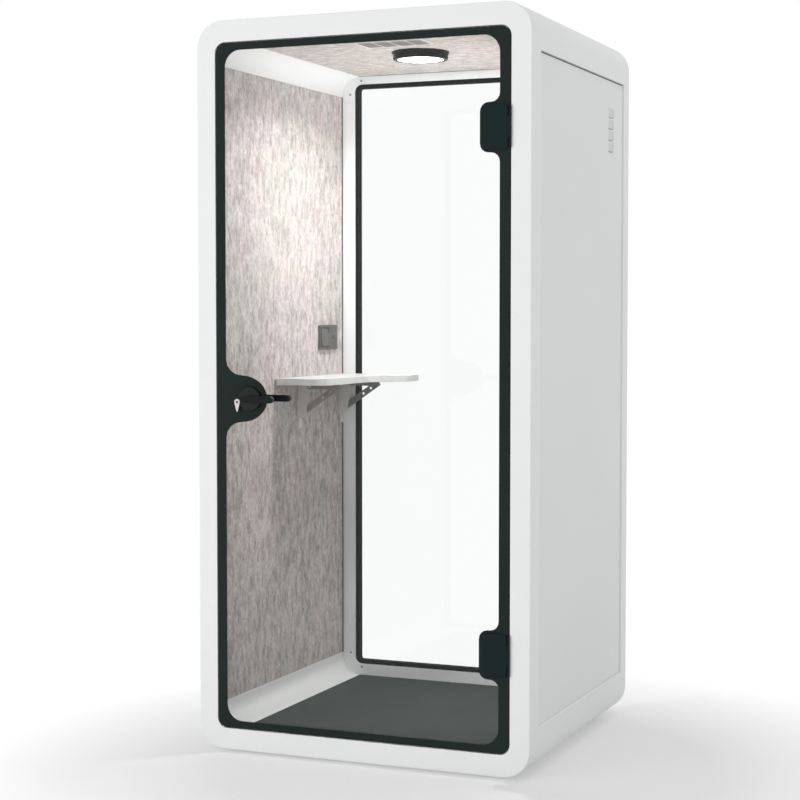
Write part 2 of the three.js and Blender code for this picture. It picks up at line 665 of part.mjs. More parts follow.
// Rear window bezel: the black ring that grips the glass, with a flange behind the rear frame's lip
function windowBezel() {
  const face = TRIM_FACE + BEZEL_SET_BACK;
  const flangeFront = REAR_LIP_BACK + GAP;
  const back = flangeFront + BEZEL_FLANGE_THICKNESS;
  const opening = windowOutline(-BEZEL_FACE, BEZEL_INNER_CORNER);
  const groove = WINDOW_GLASS_BITE - BEZEL_FACE;
  const glassFront = TRIM_FACE + WINDOW_GLASS_SET_BACK;
  const ring = prism('XZ', windowOutline(0, BEZEL_CORNER), face, back, [opening]);
  const flange = prism(
    'XZ',
    windowOutline(BEZEL_FLANGE_WIDTH, BEZEL_CORNER + BEZEL_FLANGE_WIDTH),
    flangeFront,
    back,
    [opening],
  );
  const slotBack = glassFront + WINDOW_GLASS + GAP;
  const slot = prism('XZ', windowOutline(groove, BEZEL_INNER_CORNER), glassFront - GAP, slotBack);
  return ring.add(flange).subtract(slot);
}

function windowGlass() {
  const front = TRIM_FACE + WINDOW_GLASS_SET_BACK;
  const grow = WINDOW_GLASS_BITE - BEZEL_FACE - GAP;
  return prism('XZ', windowOutline(grow, BEZEL_INNER_CORNER), front, front + WINDOW_GLASS);
}

const CORNERS = [
  { name: 'lower_left', side: -1, upper: false },
  { name: 'lower_right', side: 1, upper: false },
  { name: 'upper_left', side: -1, upper: true },
  { name: 'upper_right', side: 1, upper: true },
];

// Door glass and its dark border

function hingeBoltPlaces() {
  const x = DOOR_HALF - HINGE_PLATE_INSET - HINGE_PLATE_WIDTH / 2;
  const heights = [HINGE_LOW, HINGE_HIGH];
  const offsets = [-HINGE_BOLT_SPREAD / 2, HINGE_BOLT_SPREAD / 2];
  return heights.flatMap((height) => offsets.map((offset) => [x, height + offset]));
}

function doorHoles() {
  const bolts = hingeBoltPlaces().map(([x, z]) => circle(x, z, HINGE_BOLT_RADIUS + GAP));
  return [...bolts, circle(LOCK_X, LOCK_HEIGHT, GLASS_LOCK_HOLE_RADIUS)];
}

// The clear part of the door: a rounded rectangle that gives way to two hinge patches and a lock patch
function clearOutline() {
  const half = DOOR_HALF - BORDER_SIDE_WIDTH;
  const low = DOOR_BOTTOM + BORDER_END_WIDTH;
  const high = DOOR_TOP - BORDER_END_WIDTH;
  const corner = BORDER_INNER_CORNER;
  const patch = half - HINGE_PATCH_WIDTH;
  const fillet = HINGE_PATCH_FILLET;
  const lobe = LOBE_CENTRE_INSET - DOOR_HALF;
  const neck = lobe + half;
  const hinges = [HINGE_LOW, HINGE_HIGH].flatMap((height) => {
    const bottom = height - HINGE_PATCH_HEIGHT / 2;
    const top = height + HINGE_PATCH_HEIGHT / 2;
    return [
      ...arc(half - fillet, bottom - fillet, fillet, fillet, 0, 90, FINE_STEPS),
      ...arc(patch + fillet, bottom + fillet, fillet, fillet, 270, 180, FINE_STEPS),
      ...arc(patch + fillet, top - fillet, fillet, fillet, 180, 90, FINE_STEPS),
      ...arc(half - fillet, top + fillet, fillet, fillet, 270, 360, FINE_STEPS),
    ];
  });
  const shoulder = LOBE_HALF_HEIGHT + LOBE_FILLET_HEIGHT;
  return [
    ...arc(half - corner, low + corner, corner, corner, -90, 0, ARC_STEPS),
    ...hinges,
    ...arc(half - corner, high - corner, corner, corner, 0, 90, ARC_STEPS),
    ...arc(corner - half, high - corner, corner, corner, 90, 180, ARC_STEPS),
    ...arc(lobe, LOCK_HEIGHT + shoulder, neck, LOBE_FILLET_HEIGHT, 180, 270, FINE_STEPS),
    ...arc(lobe, LOCK_HEIGHT, LOBE_REACH, LOBE_HALF_HEIGHT, 90, -90, 2 * ARC_STEPS).slice(1, -1),
    ...arc(lobe, LOCK_HEIGHT - shoulder, neck, LOBE_FILLET_HEIGHT, 90, 180, FINE_STEPS),
    ...arc(corner - half, low + corner, corner, corner, 180, 270, ARC_STEPS),
  ];
}

function doorGlass() {
  return prism('XZ', doorOutline(0), GLASS_FRONT, GLASS_BACK, doorHoles());
}

function doorBorder() {
  const sheet = prism('XZ', doorOutline(0), FRONT, BORDER_BACK, [clearOutline()]);
  return cut(sheet, doorHoles().map((hole) => prism('XZ', hole, FRONT - OVERCUT, BORDER_BACK + OVERCUT)));
}

function doorSeal() {
  return prism('XZ', doorOutline(-SEAL_INSET), GLASS_BACK + GAP, STOP_FRONT - GAP, [
    doorOutline(-SEAL_INSET - SEAL_WIDTH),
  ]);
}

// Hinge: a front plate with the middle knuckle, a back clamp, a leaf on the frame and a pin

const HINGE_AXIS_X = DOOR_HALF + HINGE_AXIS_OUTSET;
const HINGE_AXIS_Y = FRONT - HINGE_BARREL_GAP - HINGE_BARREL_RADIUS;

function hingeBarrel(z0, z1, radius) {
  return prism('XY', circle(HINGE_AXIS_X, HINGE_AXIS_Y, radius), z0, z1);
}

function hingePlate(height) {
  const right = DOOR_HALF - HINGE_PLATE_INSET;
  const left = right - HINGE_PLATE_WIDTH;
  const half = HINGE_PLATE_HEIGHT / 2;
  const knuckle = HINGE_MIDDLE_KNUCKLE / 2;
  const front = FITTING_BACK - HINGE_PLATE_THICKNESS;
  const outline = roundedRectangle(left, right, height - half, height + half, HINGE_PLATE_CORNER, PIN_STEPS);
  const bolts = hingeBoltPlaces()
    .filter(([, z]) => Math.abs(z - height) < half)
    .map(([x, z]) => prism('XZ', circle(x, z, HINGE_BOLT_RADIUS), front, CASE_FRONT + HINGE_CLAMP_THICKNESS));
  return joined([
    prism('XZ', outline, front, FITTING_BACK),
    box(right - OVERCUT, HINGE_AXIS_X, front, FITTING_BACK, height - knuckle, height + knuckle),
    hingeBarrel(height - knuckle, height + knuckle, HINGE_BARREL_RADIUS),
    ...bolts,
  ]).subtract(hingeBarrel(height - half, height + half, HINGE_PIN_RADIUS + RUN_GAP));
}

function hingeClamp(height) {
  const right = STOP_EDGE - HINGE_CLAMP_STOP_GAP;
  const half = HINGE_PLATE_HEIGHT / 2;
  const outline = roundedRectangle(
    right - HINGE_CLAMP_WIDTH,
    right,
    height - half,
    height + half,
    HINGE_PLATE_CORNER,
    PIN_STEPS,
  );
  const holes = hingeBoltPlaces()
    .filter(([, z]) => Math.abs(z - height) < half)
    .map(([x, z]) => circle(x, z, HINGE_BOLT_RADIUS + GAP));
  return prism('XZ', outline, CASE_FRONT, CASE_FRONT + HINGE_CLAMP_THICKNESS, holes);
}

function hingeLeaf(height) {
  const outer = DOOR_HALF + DOOR_GAP - GAP;
  const inner = outer - HINGE_LEAF_THICKNESS;
  const half = HINGE_BARREL_HEIGHT / 2;
  const knuckle = HINGE_MIDDLE_KNUCKLE / 2 + GAP;
  const bore = hingeBarrel(height - half - OVERCUT, height + half + OVERCUT, HINGE_PIN_RADIUS + RUN_GAP);
  const leafFront = FRONT + GAP;
  const ends = [[-half, -knuckle], [knuckle, half]].flatMap(([from, to]) => [
    box(inner, outer, HINGE_AXIS_Y, leafFront + OVERCUT, height + from, height + to),
    hingeBarrel(height + from, height + to, HINGE_BARREL_RADIUS),
  ]);
  const leaf = box(inner, outer, leafFront, leafFront + HINGE_LEAF_DEPTH, height - half, height + half);
  return joined([leaf, ...ends]).subtract(bore);
}

function hingePin(height) {
  const half = HINGE_BARREL_HEIGHT / 2;
  const head = height + half + GAP;
  return joined([
    hingeBarrel(height - half, head + HINGE_PIN_HEAD_HEIGHT, HINGE_PIN_RADIUS),
    hingeBarrel(head, head + HINGE_PIN_HEAD_HEIGHT, HINGE_BARREL_RADIUS),
  ]);
}

// Lock: case behind the glass, rose in front, levers on one spindle, sprung latch, strike and lock turn

const TURN_X = LOCK_X - ROSE_RADIUS - TURN_ROSE_GAP;
const TURN_Z = LOCK_HEIGHT - TURN_DROP;
const ROSE_FRONT = FITTING_BACK - ROSE_THICKNESS;
const CASE_BACK = CASE_FRONT + LOCK_CASE_THICKNESS;
const BOSS_BACK = CASE_BACK + LOCK_BOSS_HEIGHT;
const CASE_LEFT = LOCK_CASE_STOP_GAP - STOP_EDGE;

function latchMiddle() {
  return (STOP_FRONT + STOP_BACK) / 2;
}

function spindleHole(y0, y1) {
  return prism('XZ', circle(LOCK_X, LOCK_HEIGHT, SPINDLE_RADIUS + RUN_GAP), y0, y1);
}

function outerRose() {
  const boss = prism(
    'XZ',
    circle(TURN_X, TURN_Z, TURN_BOSS_RADIUS, FINE_STEPS),
    ROSE_FRONT,
    FITTING_BACK,
  );
  const disc = prism('XZ', circle(LOCK_X, LOCK_HEIGHT, ROSE_RADIUS, ARC_STEPS), ROSE_FRONT, FITTING_BACK);
  const turnHole = circle(TURN_X, TURN_Z, TURN_STUB_RADIUS + RUN_GAP);
  return cut(disc.add(boss), [
    spindleHole(ROSE_FRONT - OVERCUT, FITTING_BACK + OVERCUT),
    prism('XZ', turnHole, ROSE_FRONT - OVERCUT, FITTING_BACK + OVERCUT),
  ]);
}

function lockCase() {
  const low = LOCK_HEIGHT - LOCK_CASE_HEIGHT / 2;
  const right = CASE_LEFT + LOCK_CASE_WIDTH;
  const outline = roundedRectangle(CASE_LEFT, right, low, low + LOCK_CASE_HEIGHT, LOCK_CASE_CORNER);
  const boss = circle(LOCK_X, LOCK_HEIGHT, LOCK_BOSS_RADIUS, FINE_STEPS);
  const channel = box(
    CASE_LEFT - OVERCUT,
    CASE_LEFT - LATCH_THROW + LATCH_LENGTH + LATCH_TRAVEL + OVERCUT,
    latchMiddle() - LATCH_THICKNESS / 2 - RUN_GAP,
    latchMiddle() + LATCH_THICKNESS / 2 + RUN_GAP,
    LOCK_HEIGHT - LATCH_HEIGHT / 2 - RUN_GAP,
    LOCK_HEIGHT + LATCH_HEIGHT / 2 + RUN_GAP,
  );
  return cut(prism('XZ', outline, CASE_FRONT, CASE_BACK).add(prism('XZ', boss, CASE_FRONT, BOSS_BACK)), [
    channel,
    spindleHole(CASE_FRONT - OVERCUT, BOSS_BACK + OVERCUT),
  ]);
}

function latchBolt() {
  const left = CASE_LEFT - LATCH_THROW;
  return box(
    left,
    left + LATCH_LENGTH,
    latchMiddle() - LATCH_THICKNESS / 2,
    latchMiddle() + LATCH_THICKNESS / 2,
    LOCK_HEIGHT - LATCH_HEIGHT / 2,
    LOCK_HEIGHT + LATCH_HEIGHT / 2,
  );
}

// Strike plate: lines the latch pocket's mouth on the edge of the door stop
function strikePlate() {
  const left = GAP - STOP_EDGE;
  const slotHalf = LATCH_HEIGHT / 2 + STRIKE_SLOT_CLEARANCE;
  const slotDepth = LATCH_THICKNESS / 2 + STRIKE_SLOT_CLEARANCE;
  const plate = box(
    left,
    left + STRIKE_THICKNESS,
    STOP_FRONT + GAP,
    STOP_BACK - GAP,
    LOCK_HEIGHT - STRIKE_HEIGHT / 2,
    LOCK_HEIGHT + STRIKE_HEIGHT / 2,
  );
  return plate.subtract(
    box(
      left - OVERCUT,
      left + STRIKE_THICKNESS + OVERCUT,
      latchMiddle() - slotDepth,
      latchMiddle() + slotDepth,
      LOCK_HEIGHT - slotHalf,
      LOCK_HEIGHT + slotHalf,
    ),
  );
}

// A lever's grip: a bar with round ends that starts at the spindle and points to the right
function leverGrip(y0, y1) {
  const half = LEVER_HEIGHT / 2;
  const outline = roundedRectangle(
    LOCK_X - half,
    LOCK_X + LEVER_REACH,
    LOCK_HEIGHT - half,
    LOCK_HEIGHT + half,
    half,
  );
  return prism('XZ', outline, y0, y1);
}

const INNER_NECK_FRONT = BOSS_BACK + GAP;
const INNER_GRIP_FRONT = INNER_NECK_FRONT + LEVER_NECK_LENGTH;
const SPINDLE_END = INNER_GRIP_FRONT - SPINDLE_END_WALL;

function outerLever() {
  const gripFront = FRONT - LEVER_PROJECTION;
  const gripBack = gripFront + LEVER_THICKNESS;
  const neck = circle(LOCK_X, LOCK_HEIGHT, LEVER_NECK_RADIUS, FINE_STEPS);
  return joined([
    leverGrip(gripFront, gripBack),
    prism('XZ', neck, gripBack - OVERCUT, ROSE_FRONT - GAP),
    prism('XZ', circle(LOCK_X, LOCK_HEIGHT, SPINDLE_RADIUS), gripBack - OVERCUT, SPINDLE_END),
  ]);
}

function innerLever() {
  const neck = circle(LOCK_X, LOCK_HEIGHT, LEVER_NECK_RADIUS, FINE_STEPS);
  return joined([
    leverGrip(INNER_GRIP_FRONT, INNER_GRIP_FRONT + LEVER_THICKNESS),
    prism('XZ', neck, INNER_NECK_FRONT, INNER_GRIP_FRONT + OVERCUT),
  ]).subtract(spindleHole(INNER_NECK_FRONT - OVERCUT, SPINDLE_END + GAP));
}

// Lock turn: a drop-shaped thumb piece on a stub that runs in the rose
function lockTurn() {
  const back = ROSE_FRONT - GAP;
  const front = back - TURN_THICKNESS;
  const drop = [
    ...arc(TURN_X, TURN_Z, TURN_HEAD_RADIUS, TURN_HEAD_RADIUS, -15, 195, 2 * ARC_STEPS),
    ...arc(TURN_X, TURN_Z - TURN_TAIL, TURN_TAIL_RADIUS, TURN_TAIL_RADIUS, 195, 345, FINE_STEPS),
  ];
  const stub = circle(TURN_X, TURN_Z, TURN_STUB_RADIUS);
  const eye = circle(TURN_X, TURN_Z, TURN_HOLE_RADIUS);
  return joined([
    prism('XZ', drop, front, back),
    prism('XZ', stub, back - OVERCUT, back + TURN_STUB_LENGTH),
  ]).subtract(prism('XZ', eye, front - OVERCUT, front + TURN_HOLE_DEPTH));
}

// Desk top: a slim board along the left wall that widens in an S-curve towards the window

const WALL_FACE = -CABIN_HALF;
const DESK_REAR = TRIM_FACE - DESK_REAR_GAP;
const DESK_FRONT = DESK_REAR - DESK_LENGTH;
const DESK_UNDERSIDE = DESK_HEIGHT - DESK_THICKNESS;
const FOLD_X = WALL_FACE + ARM_PIVOT_REACH;
const FOLD_Z = DESK_UNDERSIDE - ARM_PIVOT_DROP;
const CATCH_X = FOLD_X + CATCH_REACH;
const CATCH_Z = FOLD_Z - CATCH_DROP;
const STRUT_X = WALL_FACE + STRUT_PIVOT_REACH;
const STRUT_Z = FOLD_Z - STRUT_PIVOT_DROP;

function deskTop() {
  const back = WALL_FACE + DESK_WALL_GAP;
  const narrow = WALL_FACE + DESK_NARROW;
  const wide = WALL_FACE + DESK_WIDE;
  const flare = DESK_REAR - DESK_WIDE_LENGTH - DESK_FLARE_LENGTH;
  const halfFlare = DESK_FLARE_LENGTH / 2;
  const sweep = new THREE.CubicBezierCurve(
    new THREE.Vector2(narrow, flare),
    new THREE.Vector2(narrow, flare + halfFlare),
    new THREE.Vector2(wide, flare + halfFlare),
    new THREE.Vector2(wide, flare + DESK_FLARE_LENGTH),
  );
  const corner = DESK_FRONT_CORNER;
  const rearCorner = DESK_REAR_CORNER;
  const round = DESK_FRONT_ROUND;
  const outline = [
    ...vectors([[back, DESK_REAR]]),
    ...arc(back + corner, DESK_FRONT + corner, corner, corner, 180, 270, FINE_STEPS),
    ...arc(narrow - round, DESK_FRONT + round, round, round, 270, 360, ARC_STEPS),
    ...sweep.getPoints(2 * ARC_STEPS),
    ...arc(wide - rearCorner, DESK_REAR - rearCorner, rearCorner, rearCorner, 0, 90, FINE_STEPS),
  ];
  return prism('XY', outline, DESK_UNDERSIDE, DESK_HEIGHT);
}

// The bracket's three plates stand side by side: the arm, the fin on the wall leg, and the strut
function platePlane(y, plane) {
  const middle = y + plane * (PLATE_THICKNESS + PLATE_GAP);
  return [middle - PLATE_THICKNESS / 2, middle + PLATE_THICKNESS / 2];
}

function rivet(x, z, y0, y1, headFrom, headTo) {
  return joined([
    prism('XZ', circle(x, z, RIVET_RADIUS), y0, y1),
    prism('XZ', circle(x, z, RIVET_HEAD_RADIUS), headFrom, headTo),
  ]);
}

// Wall leg: a plate on the felt with a fin that carries both pivots on rivets
function deskLeg(y) {
  const top = DESK_UNDERSIDE - PLATE_THICKNESS - GAP;
  const plateFront = WALL_FACE + GAP + PLATE_THICKNESS;
  const [finNear, finFar] = platePlane(y, 0);
  const [armNear] = platePlane(y, -1);
  const [, strutFar] = platePlane(y, 1);
  const waist = STRUT_X + FIN_PIVOT_MARGIN;
  const fin = [
    ...vectors([[plateFront - OVERCUT, STRUT_Z - 3 * FIN_PIVOT_MARGIN]]),
    ...vectors([[waist, STRUT_Z - FIN_PIVOT_MARGIN], [waist, STRUT_Z + FIN_PIVOT_MARGIN]]),
    ...arc(FOLD_X, FOLD_Z, FIN_ROUND, FIN_ROUND, -45, 90, FINE_STEPS),
    ...vectors([[plateFront - OVERCUT, FOLD_Z + FIN_ROUND]]),
  ];
  const armHead = armNear - GAP;
  const strutHead = strutFar + GAP;
  return joined([
    box(WALL_FACE + GAP, plateFront, y - LEG_WIDTH / 2, y + LEG_WIDTH / 2, top - LEG_HEIGHT, top),
    prism('XZ', fin, finNear, finFar),
    rivet(FOLD_X, FOLD_Z, armHead - RIVET_HEAD_HEIGHT, finFar, armHead - RIVET_HEAD_HEIGHT, armHead),
    rivet(STRUT_X, STRUT_Z, finNear, strutHead + RIVET_HEAD_HEIGHT, strutHead, strutHead + RIVET_HEAD_HEIGHT),
  ]);
}

// Arm: an angle under the desk top with the catch pin that rests in the strut
function deskArm(y) {
  const [near, far] = platePlane(y, -1);
  const [, strutFar] = platePlane(y, 1);
  const flangeTop = DESK_UNDERSIDE - GAP;
  const flangeLow = flangeTop - PLATE_THICKNESS;
  const end = CATCH_X + ARM_TIP;
  const back = FOLD_X - ARM_FLANGE_BACK;
  const plate = [
    ...vectors([[end, FOLD_Z], [end, flangeTop], [back, flangeTop]]),
    ...arc(FOLD_X, FOLD_Z, ARM_DEPTH, ARM_DEPTH, 180, 270, FINE_STEPS),
    ...arc(end - ARM_DEPTH, FOLD_Z, ARM_DEPTH, ARM_DEPTH, 270, 350, FINE_STEPS),
  ];
  return joined([
    prism('XZ', plate, near, far),
    box(back, end, far - ARM_FLANGE_WIDTH, far, flangeLow, flangeTop),
    prism('XZ', circle(CATCH_X, CATCH_Z, CATCH_RADIUS), near, strutFar + GAP),
  ]).subtract(prism('XZ', circle(FOLD_X, FOLD_Z, RIVET_RADIUS + RUN_GAP), near - OVERCUT, far + OVERCUT));
}

// Strut: swings on the leg's lower rivet, and an open notch near its tip holds up the arm's catch pin
function deskStrut(y) {
  const [near, far] = platePlane(y, 1);
  const length = Math.hypot(CATCH_X - STRUT_X, CATCH_Z - STRUT_Z);
  const tilt = THREE.MathUtils.radToDeg(Math.atan2(CATCH_Z - STRUT_Z, CATCH_X - STRUT_X));
  const half = STRUT_HALF_WIDTH;
  const seat = CATCH_RADIUS + GAP;
  const tip = length + STRUT_TIP;
  const bar = [
    ...arc(0, 0, half, half, 90, 270, 2 * FINE_STEPS),
    ...vectors([[tip, -half], [tip, STRUT_TOOTH], [length + seat, STRUT_TOOTH]]),
    ...arc(length, 0, seat, seat, 0, -180, 2 * FINE_STEPS),
    ...vectors([[length - seat - half, half]]),
  ];
  const holes = STRUT_HOLE_STEPS.map((step) => circle(length - step, 0, STRUT_HOLE_RADIUS));
  holes.push(circle(0, 0, RIVET_RADIUS + RUN_GAP));
  const place = (points) => turned(points, tilt, STRUT_X, STRUT_Z);
  return prism('XZ', place(bar), near, far, holes.map(place));
}

// Ceiling light: a dark round pan with a flange at the ceiling, and an opal disc held on a stem

function lightPan() {
  const top = CABIN_CEILING - GAP;
  const low = CABIN_CEILING - LIGHT_HEIGHT;
  const body = circle(CEILING_AXIS, LIGHT_OFFSET, LIGHT_BODY_RADIUS, ARC_STEPS);
  const inner = circle(CEILING_AXIS, LIGHT_OFFSET, LIGHT_BODY_RADIUS - LIGHT_WALL, ARC_STEPS);
  const flange = circle(CEILING_AXIS, LIGHT_OFFSET, LIGHT_BODY_RADIUS + LIGHT_FLANGE_WIDTH, ARC_STEPS);
  return prism('XY', body, low, top)
    .add(prism('XY', flange, top - LIGHT_FLANGE_HEIGHT, top))
    .subtract(prism('XY', inner, low - OVERCUT, top - LIGHT_ROOF));
}

function lightDiffuser() {
  const low = CABIN_CEILING - LIGHT_HEIGHT + DIFFUSER_SET_BACK;
  const disc = circle(CEILING_AXIS, LIGHT_OFFSET, LIGHT_BODY_RADIUS - LIGHT_WALL - GAP, ARC_STEPS);
  const stem = circle(CEILING_AXIS, LIGHT_OFFSET, DIFFUSER_STEM_RADIUS);
  const stemTop = CABIN_CEILING - GAP - LIGHT_ROOF - GAP;
  return prism('XY', disc, low, low + DIFFUSER_THICKNESS).add(prism('XY', stem, low, stemTop));
}

// Ceiling grille: a plate with rows of slots in several fields
function ceilingGrille() {
  const top = CABIN_CEILING - GAP;
  const halfWidth = GRILLE_WIDTH / 2;
  const halfLength = GRILLE_LENGTH / 2;
  const outline = roundedRectangle(
    CEILING_AXIS - halfWidth,
    CEILING_AXIS + halfWidth,
    FAN_Y - halfLength,
    FAN_Y + halfLength,
    GRILLE_CORNER,
  );
  const slots = [];
  for (let i = 0; i < GRILLE_FIELDS; i += 1) {
    const middle = CEILING_AXIS + (i - (GRILLE_FIELDS - 1) / 2) * GRILLE_FIELD_PITCH;
    for (let j = 0; j < GRILLE_SLOTS; j += 1) {
      const front = FAN_Y + (j - (GRILLE_SLOTS - 1) / 2) * GRILLE_SLOT_PITCH - GRILLE_SLOT_WIDTH / 2;
      slots.push(
        box(
          middle - GRILLE_FIELD_WIDTH / 2,
          middle + GRILLE_FIELD_WIDTH / 2,
          front,
          front + GRILLE_SLOT_WIDTH,
          top - GRILLE_THICKNESS - OVERCUT,
          top + OVERCUT,
        ),
      );
    }
  }
  return cut(prism('XY', outline, top - GRILLE_THICKNESS, top), slots);
}

// Fan: a square housing with a spider and shaft, and a bladed rotor that turns on the shaft

const FAN_BORE_RADIUS = FAN_SIZE / 2 - FAN_WALL;
const FAN_BLADE_RADIUS = FAN_BORE_RADIUS - FAN_BLADE_GAP;
const FAN_LOW = CABIN_CEILING + LINING_THICKNESS + GAP;
const FAN_SHAFT_TOP = FAN_LOW + FAN_SPOKE_HEIGHT + FAN_SHAFT_LENGTH;

function fanHousing() {
  const half = FAN_SIZE / 2;
  const square = vectors([
    [CEILING_AXIS - half, FAN_Y - half],
    [CEILING_AXIS + half, FAN_Y - half],
    [CEILING_AXIS + half, FAN_Y + half],
    [CEILING_AXIS - half, FAN_Y + half],
  ]);
  const bore = circle(CEILING_AXIS, FAN_Y, FAN_BORE_RADIUS, FINE_STEPS);
  const solids = [
    prism('XY', square, FAN_LOW, FAN_LOW + FAN_HEIGHT, [bore]),
    prism('XY', circle(CEILING_AXIS, FAN_Y, FAN_HUB_RADIUS), FAN_LOW, FAN_LOW + FAN_SPOKE_HEIGHT),
    prism('XY', circle(CEILING_AXIS, FAN_Y, FAN_SHAFT_RADIUS), FAN_LOW, FAN_SHAFT_TOP),
  ];
  for (let i = 0; i < FAN_SPOKES; i += 1) {
    const spoke = vectors([
      [0, -FAN_SPOKE_WIDTH / 2],
      [FAN_BORE_RADIUS + OVERCUT, -FAN_SPOKE_WIDTH / 2],
      [FAN_BORE_RADIUS + OVERCUT, FAN_SPOKE_WIDTH / 2],
      [0, FAN_SPOKE_WIDTH / 2],
    ]);
    const outline = turned(spoke, (i * 360) / FAN_SPOKES, CEILING_AXIS, FAN_Y);
    solids.push(prism('XY', outline, FAN_LOW, FAN_LOW + FAN_SPOKE_HEIGHT));
  }
  return joined(solids);
}

function fanRotor() {
  const low = FAN_LOW + FAN_SPOKE_HEIGHT + FAN_HUB_GAP;
  const middle = low + FAN_HUB_HEIGHT / 2;
  const solids = [prism('XY', circle(CEILING_AXIS, FAN_Y, FAN_HUB_RADIUS), low, low + FAN_HUB_HEIGHT)];
  for (let i = 0; i < FAN_BLADES; i += 1) {
    const reach = FAN_BLADE_RADIUS - FAN_HUB_RADIUS + OVERCUT;
    const geometry = new THREE.BoxGeometry(reach, FAN_BLADE_WIDTH, FAN_BLADE_THICKNESS);
    geometry.rotateX(THREE.MathUtils.degToRad(FAN_BLADE_PITCH));
    geometry.translate(FAN_HUB_RADIUS - OVERCUT + reach / 2, 0, 0);
    geometry.rotateZ((i * 2 * Math.PI) / FAN_BLADES);
    geometry.translate(CEILING_AXIS, FAN_Y, middle);
    solids.push(toSolid(geometry));
  }
  const bore = circle(CEILING_AXIS, FAN_Y, FAN_SHAFT_RADIUS + RUN_GAP);
  return joined(solids).subtract(prism('XY', bore, low - OVERCUT, FAN_SHAFT_TOP + GAP));
}

// Switch and socket plate, with a rocker that tilts in its window

const SOCKET_Y = REAR - SOCKET_REAR_INSET;
const SOCKET_FRONT = WALL_FACE + GAP + SOCKET_PLATE_THICKNESS;
const ROCKER_Y = SOCKET_Y - SOCKET_PLATE_LENGTH / 4;
const ROCKER_X = SOCKET_FRONT + ROCKER_PROUD - ROCKER_THICKNESS / 2;

function socketPlate() {
  const halfLength = SOCKET_PLATE_LENGTH / 2;
  const halfHeight = SOCKET_PLATE_HEIGHT / 2;
  const outline = roundedRectangle(
    SOCKET_Y - halfLength,
    SOCKET_Y + halfLength,
    SOCKET_HEIGHT - halfHeight,
    SOCKET_HEIGHT + halfHeight,
    SOCKET_PLATE_CORNER,
  );
  const windowHalf = ROCKER_HEIGHT / 2 + ROCKER_END_GAP;
  const rockerWindow = box(
    ROCKER_X - ROCKER_THICKNESS,
    SOCKET_FRONT + OVERCUT,
    ROCKER_Y - ROCKER_LENGTH / 2 - GAP,
    ROCKER_Y + ROCKER_LENGTH / 2 + GAP,
    SOCKET_HEIGHT - windowHalf,
    SOCKET_HEIGHT + windowHalf,
  );
  const socketY = SOCKET_Y + SOCKET_PLATE_LENGTH / 4;
  const slots = [-SOCKET_SLOT_SPREAD / 2, SOCKET_SLOT_SPREAD / 2].map((offset) =>
    box(
      SOCKET_FRONT - SOCKET_SLOT_DEPTH,
      SOCKET_FRONT + OVERCUT,
      socketY + offset - SOCKET_SLOT_WIDTH / 2,
      socketY + offset + SOCKET_SLOT_WIDTH / 2,
      SOCKET_HEIGHT - SOCKET_SLOT_HEIGHT / 2,
      SOCKET_HEIGHT + SOCKET_SLOT_HEIGHT / 2,
    ),
  );
  return cut(prism('YZ', outline, WALL_FACE + GAP, SOCKET_FRONT), [rockerWindow, ...slots]);
}

function switchRocker() {
  const thick = ROCKER_THICKNESS / 2;
  const long = ROCKER_LENGTH / 2;
  const high = ROCKER_HEIGHT / 2;
  const rocker = piece('switch_rocker', box(-thick, thick, -long, long, -high, high), 'grey_plastic');
  rocker.position.set(ROCKER_X, ROCKER_Y, SOCKET_HEIGHT);
  rocker.rotation.y = THREE.MathUtils.degToRad(-ROCKER_TILT);
  return rocker;
}

// Assembly

function eachCorner(label, make) {
  return CORNERS.map(({ name, side, upper }) => piece(`${label}_${name}`, make(side, upper), 'white_paint'));
}

const innerFront = FRAME_BACK + GAP;
const innerRear = REAR_FRAME_FACE - GAP;

const shell = assembly(
  piece('front_frame', frontFrame(), 'white_paint'),
  piece('rear_frame', rearFrame(), 'white_paint'),
  ...eachCorner('corner_rail', cornerRail),
  piece('outer_panel_left', outerPanel(-1), 'white_sheet'),
  piece('outer_panel_right', louvredPanel(), 'white_sheet'),
  piece('roof_panel', deckSlab(innerFront, innerRear, ROOF_INNER, ROOF_OUTER), 'white_sheet'),
  piece('floor_deck', deckSlab(innerFront, innerRear, BASE_RECESS, CABIN_FLOOR - LINING_SPACE), 'deck'),
  piece('ceiling_core', ceilingCore(), 'foam'),
  piece('ceiling_felt', ceilingFelt(), 'wool_felt'),
  piece(
    'floor_carpet',
    deckSlab(STOP_BACK + GAP, TRIM_FACE - GAP, CABIN_FLOOR - LINING_THICKNESS, CABIN_FLOOR),
    'carpet',
  ),
);

for (const [label, side] of [['left', -1], ['right', 1]]) {
  const felt = wallSlab(side, CABIN_HALF, CABIN_HALF + LINING_THICKNESS, STOP_BACK + GAP, TRIM_FACE - GAP);
  shell.add(piece(`acoustic_core_${label}`, wallCore(side), 'foam'));
  shell.add(piece(`wall_felt_${label}`, felt, 'wool_felt'));
  for (const [end, y] of [['front', footPlaces()[0]], ['rear', footPlaces()[1]]]) {
    shell.add(piece(`foot_${end}_${label}`, foot(side, y), 'black_rubber'));
  }
}

const rearWindow = assembly(
  piece('window_trim', windowTrim(), 'white_paint'),
  ...eachCorner('trim_corner', cornerPlate),
  piece('window_bezel', windowBezel(), 'dark_border'),
  piece('window_glass', windowGlass(), 'clear_glass'),
);

const door = assembly(
  piece('door_glass', doorGlass(), 'clear_glass'),
  piece('door_border', doorBorder(), 'dark_border'),
  piece('door_seal', doorSeal(), 'black_rubber'),
);

